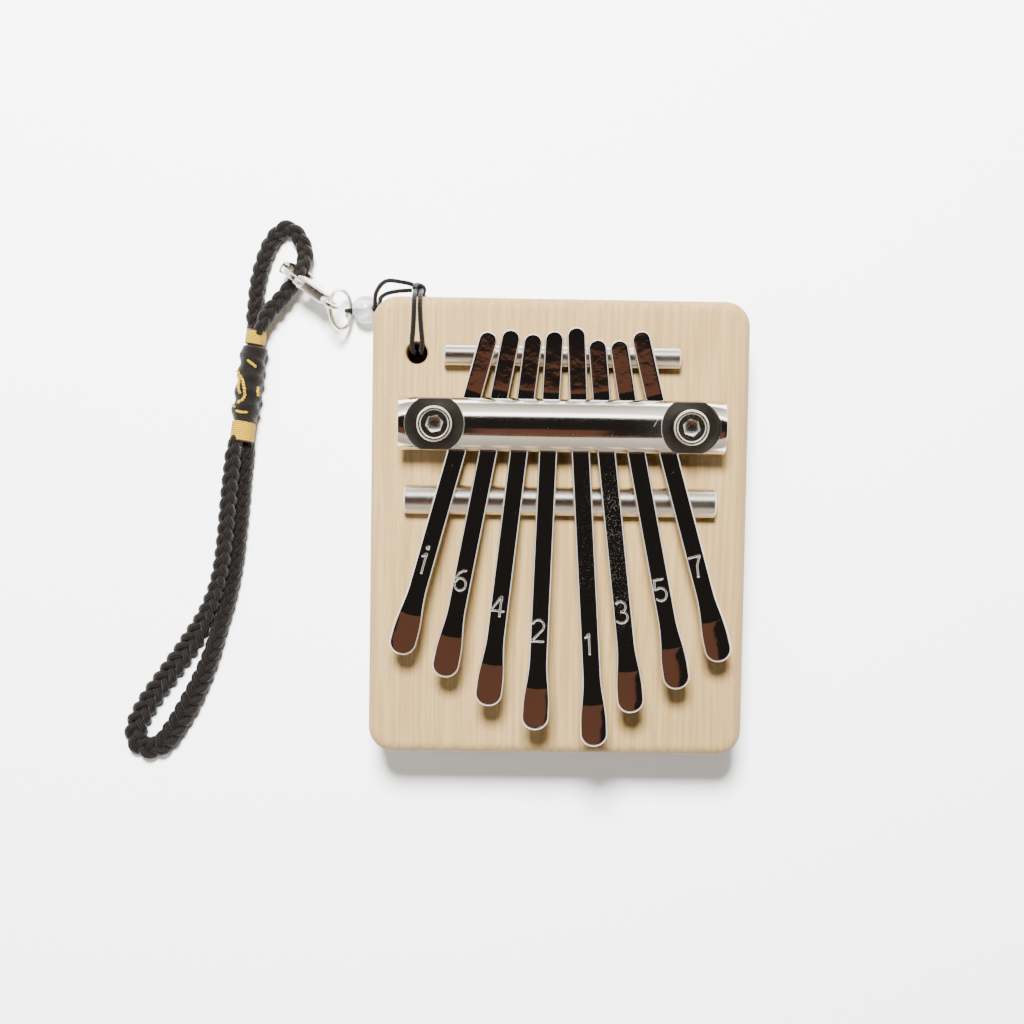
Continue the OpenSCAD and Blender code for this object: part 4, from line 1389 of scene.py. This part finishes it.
class MBIRA_OT_ring_and_clasp(bpy.types.Operator):
    """Add the jump ring and the lobster clasp"""

    bl_idname = "mbira.add_ring_and_clasp"
    bl_label = "Add ring and clasp"

    def execute(self, context):
        self.ring()
        self.body()
        self.gate()
        self.rivet()
        finish_with(frame["nodes"]["clasp_spring"], "Nickel plate")
        return {"FINISHED"}

    def ring(self):
        low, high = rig.box("jump_ring")
        centre = (low + high) / 2
        tilt = Matrix.Rotation(math.radians(63), 3, "Y")
        line = [
            centre + tilt @ Vector((x, y, 0))
            for x, y in arc((0, 0), RING_R, 70.6, 429.4, 140)
        ]
        ring = smooth(tube("split_jump_ring", line, lambda i, turn: RING_WIRE_R, 24), 50)
        finish_with(ring, "Nickel plate", "clasp_nickel")
        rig.ride(ring, "ring")
        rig.replaces(ring, "jump_ring")

    def body(self):
        soft = 0.62 * MM
        tip = 44
        outer = arc((HOOK_X, 0), HOOK_R - soft, tip, -122, 34)
        neck = [(5.2 * MM, -1.85 * MM), (3.2 * MM, -1.05 * MM), (1.9 * MM, -0.5 * MM),
                (1.9 * MM, 0.5 * MM), (3.2 * MM, 1.05 * MM), (5.2 * MM, 1.85 * MM),
                (6.6 * MM, 2.35 * MM), (7.4 * MM, 2.1 * MM), (7.35 * MM, 1.6 * MM)]
        inner = arc((HOOK_X, 0), THROAT_R + soft, 152, 360 + tip, 44)
        body = plate("clasp_shell", [*outer, *neck, *inner], CLASP_THICK, soft)
        eye = plate(
            "eye", arc((0, 0), 1.65 * MM, 0, 352, 44), 1.02 * MM, 0.4 * MM,
            [arc((0, 0), 1.6 * MM, 352, 0, 44)])
        boolean(body, eye, "UNION")
        stem = plate("stem", [(1.55 * MM, -0.5 * MM), (3.4 * MM, -0.7 * MM),
                              (3.4 * MM, 0.7 * MM), (1.55 * MM, 0.5 * MM)], 1.1 * MM, 0.35 * MM)
        boolean(body, stem, "UNION")
        slot = plate("slot", [(5.6 * MM, 0.6 * MM), (12 * MM, 0.6 * MM), (12 * MM, 6 * MM),
                              (5.6 * MM, 6 * MM)], SLOT, 0.01 * MM)
        reach = plate("reach", arc((RIVET.x, RIVET.y), 5.28 * MM, 0, 355, 71), SLOT, 0.01 * MM)
        boolean(slot, reach, "INTERSECT")
        boolean(body, slot)
        bore = rod_cutter(0.48 * MM, 2.7 * MM, (4.95 * MM, 0.75 * MM, 0), "X", 32)
        boolean(body, bore)
        smooth(to_place(body), 40)
        finish_with(body, "Nickel plate", "clasp_nickel")
        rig.ride(body, "clasp")
        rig.replaces(body, "clasp_body")

    def gate(self):
        soft = 0.28 * MM
        tip = 49
        outer = arc((HOOK_X, 0), HOOK_R - soft, 139, tip, 20)
        inner = arc((HOOK_X, 0), THROAT_R + 0.1 * MM + soft, tip, 146, 20)
        root = arc((RIVET.x, RIVET.y), 1.1 * MM - soft, -40, -205, 12)
        gate = plate("clasp_lever", [*outer, *inner, *root], GATE_THICK, soft)
        nub = plate("nub", [(5.9 * MM, 2.5 * MM), (6.4 * MM, 4.2 * MM), (6.9 * MM, 4.3 * MM),
                            (7.6 * MM, 2.9 * MM)], GATE_THICK, soft)
        boolean(gate, nub, "UNION")
        smooth(to_place(gate), 40)
        finish_with(gate, "Nickel plate", "clasp_nickel")
        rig.ride(gate, "gate")
        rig.replaces(gate, "clasp_gate")

    def rivet(self):
        half = CLASP_THICK / 2
        head = [(0, half + 0.16 * MM), (0.32 * MM, half + 0.13 * MM), (0.58 * MM, half + 0.02 * MM),
                (0.58 * MM, half - 0.1 * MM), (0.45 * MM, half - 0.12 * MM)]
        rivet = turned("clasp_pin", [*head, *[(r, -z) for r, z in reversed(head)]], 32)
        rivet.location = RIVET
        settle(rivet)
        smooth(to_place(rivet), 40)
        finish_with(rivet, "Screw nickel", "clasp_nickel")
        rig.ride(rivet, "clasp")
        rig.replaces(rivet, "clasp_rivet")


# The strap's wrapped length, measured from the upper band's start.
BAND_LENGTH = 3.2 * MM
WRAP_LENGTH = 16.2 * MM
WRAP_GROUP = 3.4 * MM


class BandAxis:
    """The strap's wrapped length: a straight line through the three bands."""

    def __init__(self):
        centres = []
        for node in ("upper_thread_band", "lower_thread_band"):
            low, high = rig.box(node)
            centres.append((low + high) / 2)
        self.way = (centres[1] - centres[0]).normalized()
        self.side = self.way.cross(UP).normalized()
        self.start = centres[0] - self.way * (BAND_LENGTH / 2)

    def point(self, along, turn, radius):
        """Turn 0 faces up and grows towards the left edge as seen from above."""
        return (self.start + self.way * along + UP * math.cos(turn) * radius
                + self.side * math.sin(turn) * radius)


class MBIRA_OT_bands(bpy.types.Operator):
    """Add the gold thread windings and the wrapped knot between them"""

    bl_idname = "mbira.add_bands"
    bl_label = "Add thread bands"

    def execute(self, context):
        axis = BandAxis()
        upper = self.winding(axis, "upper_winding", 0, BAND_LENGTH, 2.1 * MM, 0)
        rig.replaces(upper, "upper_thread_band")
        lower = self.winding(axis, "lower_winding", BAND_LENGTH + WRAP_LENGTH, 3.8 * MM, 2.5 * MM,
                             0.9 * MM)
        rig.replaces(lower, "lower_thread_band")
        self.wrap(axis)
        self.gold_inlay(axis)
        return {"FINISHED"}

    def winding(self, axis, name, start, length, radius, peak):
        """Turns of thread side by side; peak lifts the upper rim on the face that shows."""
        thread = 0.27 * MM
        sides = 64
        rows = round(length / thread) * 6
        turns = rows / 6

        def place(row, column):
            turn = math.tau * (column % sides) / sides
            if row in (0, rows + 2):
                share = 0 if row == 0 else 1
                return axis.point(start + length * share, turn, 0)
            share = (row - 1) / rows
            wave = abs(math.sin(math.pi * (share * turns + turn / math.tau)))
            crown = peak * (1 - share) * max(0, math.cos(turn)) ** 2
            soft = min(1, (0.25 + min(share, 1 - share) * 18))
            size = radius - 0.22 * MM * (1 - soft) - 0.09 * MM * (1 - math.sqrt(wave))
            return axis.point(start + length * share - crown, turn, size)
        band = smooth(shaped_grid(name, rows + 2, sides, place), 60)
        finish_with(band, "Gold thread", "thread_gold")
        band.data.materials.append(bpy.data.materials["Red-brown"])
        # The faces within 0.30 mm of either end of the band take the red-brown material.
        for face in band.data.polygons:
            along = (face.center - axis.start).dot(axis.way) - start
            crown = peak * (1 - along / length) * max(0, face.center.z / radius - 1) ** 2
            edge = 0.30 * MM
            if along + crown < edge or along > length - edge:
                face.material_index = 1
        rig.ride(band, "clasp")
        return band

    def surface(self, along, turn):
        """Radius of the lumpy wrapped knot."""
        share = along / WRAP_LENGTH
        lump = math.cos(math.tau * (along / WRAP_GROUP + 0.30 * math.sin(turn + 2.2 * share)))
        slow = noise.noise(Vector((along / (2.5 * MM), math.cos(turn), math.sin(turn))))
        return (2.58 + 0.22 * lump + 0.26 * slow) * MM

    def wrap(self, axis):
        """Black turns laid over each other in leaning groups."""
        start, length = BAND_LENGTH, WRAP_LENGTH
        sides, rows = 90, 200

        def place(row, column):
            turn = math.tau * (column % sides) / sides
            share = min(max((row - 1) / rows, 0), 1)
            if row in (0, rows + 2):
                return axis.point(start + length * share, turn, 0)
            along = length * share
            group = math.floor(along / WRAP_GROUP + 0.30 * math.sin(turn))
            lean = 0.9 if group % 2 else -0.9
            ridge = abs(math.sin(math.pi * (along / (0.34 * MM) + lean * math.sin(turn))))
            close = min(1, 0.55 + min(share, 1 - share) * 14)
            size = (self.surface(along, turn) + 0.10 * MM * ridge) * close
            return axis.point(start + along, turn, size)
        knot = smooth(shaped_grid("wrapped_black_knot", rows + 2, sides, place), 50)
        finish_with(knot, "Black braid", "braid_black")
        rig.ride(knot, "clasp")
        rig.replaces(knot, "wrapped_knot")

    def gold_inlay(self, axis):
        """Gold thread that comes up between the black turns."""
        # Each point is (millimetres along the wrapped knot, degrees round it).
        paths = [
            [(3.3, 15), (3.9, -8), (4.6, -32)],
            [(5.6, 62), (6.6, 45), (7.8, 24), (9.2, 8), (10.6, 4), (11.6, 14), (12.4, 34)],
            [(6.4, 66), (7.6, 52), (9.0, 38), (10.4, 30)],
            [(8.4, -62), (9.4, -48), (10.4, -58)],
            [(12.9, 70), (13.1, 55), (13.2, 40)],
            [(13.9, 40), (14.1, 12), (13.9, -20)],
        ]
        threads = []
        for path in paths:
            spots = [Vector((a, math.radians(d), 0)) for a, d in path]
            fine = evenly(spots, 0.08)
            line = [
                axis.point(BAND_LENGTH + p.x * MM, p.y, self.surface(p.x * MM, p.y) + 0.10 * MM)
                for p in fine
            ]

            def radius(i, turn):
                end = min(1, (i + 1) / 3, (len(line) - i) / 3)
                return 0.30 * MM * (1 + 0.10 * math.cos(3 * turn + 0.5 * i)) * end
            threads.append(tube("gold", line, radius, 12))
        inlay = smooth(join("gold_thread_inlay", threads), 60)
        finish_with(inlay, "Gold thread", "thread_gold")
        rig.ride(inlay, "clasp")


class MBIRA_OT_stage(bpy.types.Operator):
    """Add the pale floor, the soft lights and the surroundings"""

    bl_idname = "mbira.add_stage"
    bl_label = "Add floor and lights"

    def execute(self, context):
        deselect()
        bpy.ops.mesh.primitive_plane_add(size=4, location=(0, 0, 0))
        floor = named("floor")
        material, *_ = new_material(
            "Pale floor", Base_Color=(0.93, 0.93, 0.93, 1), Roughness=0.9, Specular_IOR_Level=0.1)
        floor.data.materials.append(material)
        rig.stage(floor)
        self.lamp("key", (-0.06, 0.32, 0.54), 0.17, 30.0)
        self.lamp("fill", (-0.45, -0.10, 0.60), 0.5, 3.0)
        self.surroundings(context)
        return {"FINISHED"}

    def lamp(self, name, place, size, watts):
        light = bpy.data.lights.new(name, "AREA")
        light.shape = "DISK"
        light.size = size
        light.energy = watts
        lamp = bpy.data.objects.new(name, light)
        bpy.context.scene.collection.objects.link(lamp)
        lamp.location = place
        lamp.rotation_mode = "QUATERNION"
        lamp.rotation_quaternion = (-Vector(place)).to_track_quat("-Z", "Y")
        lamp.visible_glossy = False

    def surroundings(self, context):
        """A bright room with a dark shape overhead and a warm one on the player's side."""
        world = bpy.data.worlds.new("room")
        context.scene.world = world
        world.use_nodes = True
        tree = world.node_tree
        back = tree.nodes["Background"]
        place = tree.nodes.new("ShaderNodeTexCoord")
        split = add(tree, "SeparateXYZ", Vector=place.outputs["Generated"])
        height = maths(tree, "MAXIMUM", split.outputs["Z"], 0.001)
        lean_x = maths(tree, "DIVIDE", split.outputs["X"], height)
        lean_y = maths(tree, "DIVIDE", split.outputs["Y"], height)
        wide = self.between(tree, lean_x, -0.75, 0.72, 0.06)
        dark = maths(tree, "MULTIPLY", self.between(tree, lean_y, -0.90, 0.60, 0.035), wide)
        warm = maths(tree, "MULTIPLY", self.between(tree, lean_y, -0.83, -0.263, 0.014),
                     self.between(tree, lean_x, -0.40, 0.27, 0.03))
        line = maths(tree, "MULTIPLY", self.between(tree, lean_y, 0.66, 0.95, 0.05), wide)
        side = ramp(tree, maths(tree, "MULTIPLY_ADD", split.outputs["Y"], 0.5, 0.5), [
            (0.0, (0.42, 0.36, 0.30)), (0.30, (1.0, 0.88, 0.72)), (0.55, (1.3, 1.25, 1.18)),
            (0.85, (1.5, 1.4, 1.25)), (1.0, (0.45, 0.38, 0.30))])
        shaded = mixed(tree, dark, side, (0.013, 0.011, 0.010))
        warmed = mixed(tree, warm, shaded, (0.115, 0.048, 0.028))
        lined = mixed(tree, line, warmed, (4.5, 4.4, 4.2))
        tree.links.new(lined, back.inputs["Color"])
        path = tree.nodes.new("ShaderNodeLightPath")
        strength = maths(tree, "MULTIPLY_ADD", path.outputs["Is Glossy Ray"], 1.45, 0.28)
        tree.links.new(strength, back.inputs["Strength"])

    def between(self, tree, value, low, high, soft):
        """1 where the value lies between low and high, with soft edges."""
        rising = add(tree, "MapRange", interpolation_type="SMOOTHSTEP", Value=value,
                     From_Min=low - soft, From_Max=low + soft)
        falling = add(tree, "MapRange", interpolation_type="SMOOTHSTEP", Value=value,
                      From_Min=high + soft, From_Max=high - soft)
        return maths(tree, "MULTIPLY", rising.outputs[0], falling.outputs[0])


class MBIRA_PT_panel(bpy.types.Panel):
    """Shows the sizes, the colours and a button for each step in the sidebar"""

    bl_idname = "MBIRA_PT_panel"
    bl_label = "Pocket Mbira"
    bl_space_type = "VIEW_3D"
    bl_region_type = "UI"
    bl_category = "Mbira"

    def draw(self, context):
        for group in (context.scene.mbira_sizes, context.scene.mbira_colours):
            box = self.layout.box()
            for key in group.__annotations__:
                box.prop(group, key)
        for operator in STEPS:
            self.layout.operator(operator.bl_idname)


STEPS = (
    MBIRA_OT_camera, MBIRA_OT_finishes, MBIRA_OT_cords, MBIRA_OT_knot_and_bead,
    MBIRA_OT_board, MBIRA_OT_rods, MBIRA_OT_bar, MBIRA_OT_screws, MBIRA_OT_tines,
    MBIRA_OT_ring_and_clasp, MBIRA_OT_bands, MBIRA_OT_stage,
)
CLASSES = (MbiraSizes, MbiraColours, *STEPS, MBIRA_PT_panel)


def register():
    for cls in CLASSES:
        bpy.utils.register_class(cls)
    bpy.types.Scene.mbira_sizes = PointerProperty(type=MbiraSizes)
    bpy.types.Scene.mbira_colours = PointerProperty(type=MbiraColours)


def unregister():
    del bpy.types.Scene.mbira_colours
    del bpy.types.Scene.mbira_sizes
    for cls in reversed(CLASSES):
        bpy.utils.unregister_class(cls)


def main():
    register()
    for step in STEPS:
        group, name = step.bl_idname.split(".")
        getattr(getattr(bpy.ops, group), name)()
    declare_cords(bpy.context.scene.mbira_sizes)
    low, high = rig.bounds()
    with open("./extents.json", "w") as file:
        json.dump({"cad": [list(CAD_LOW), list(CAD_HIGH)], "visual": [list(low), list(high)]}, file)


if __name__ == "__main__":
    main()
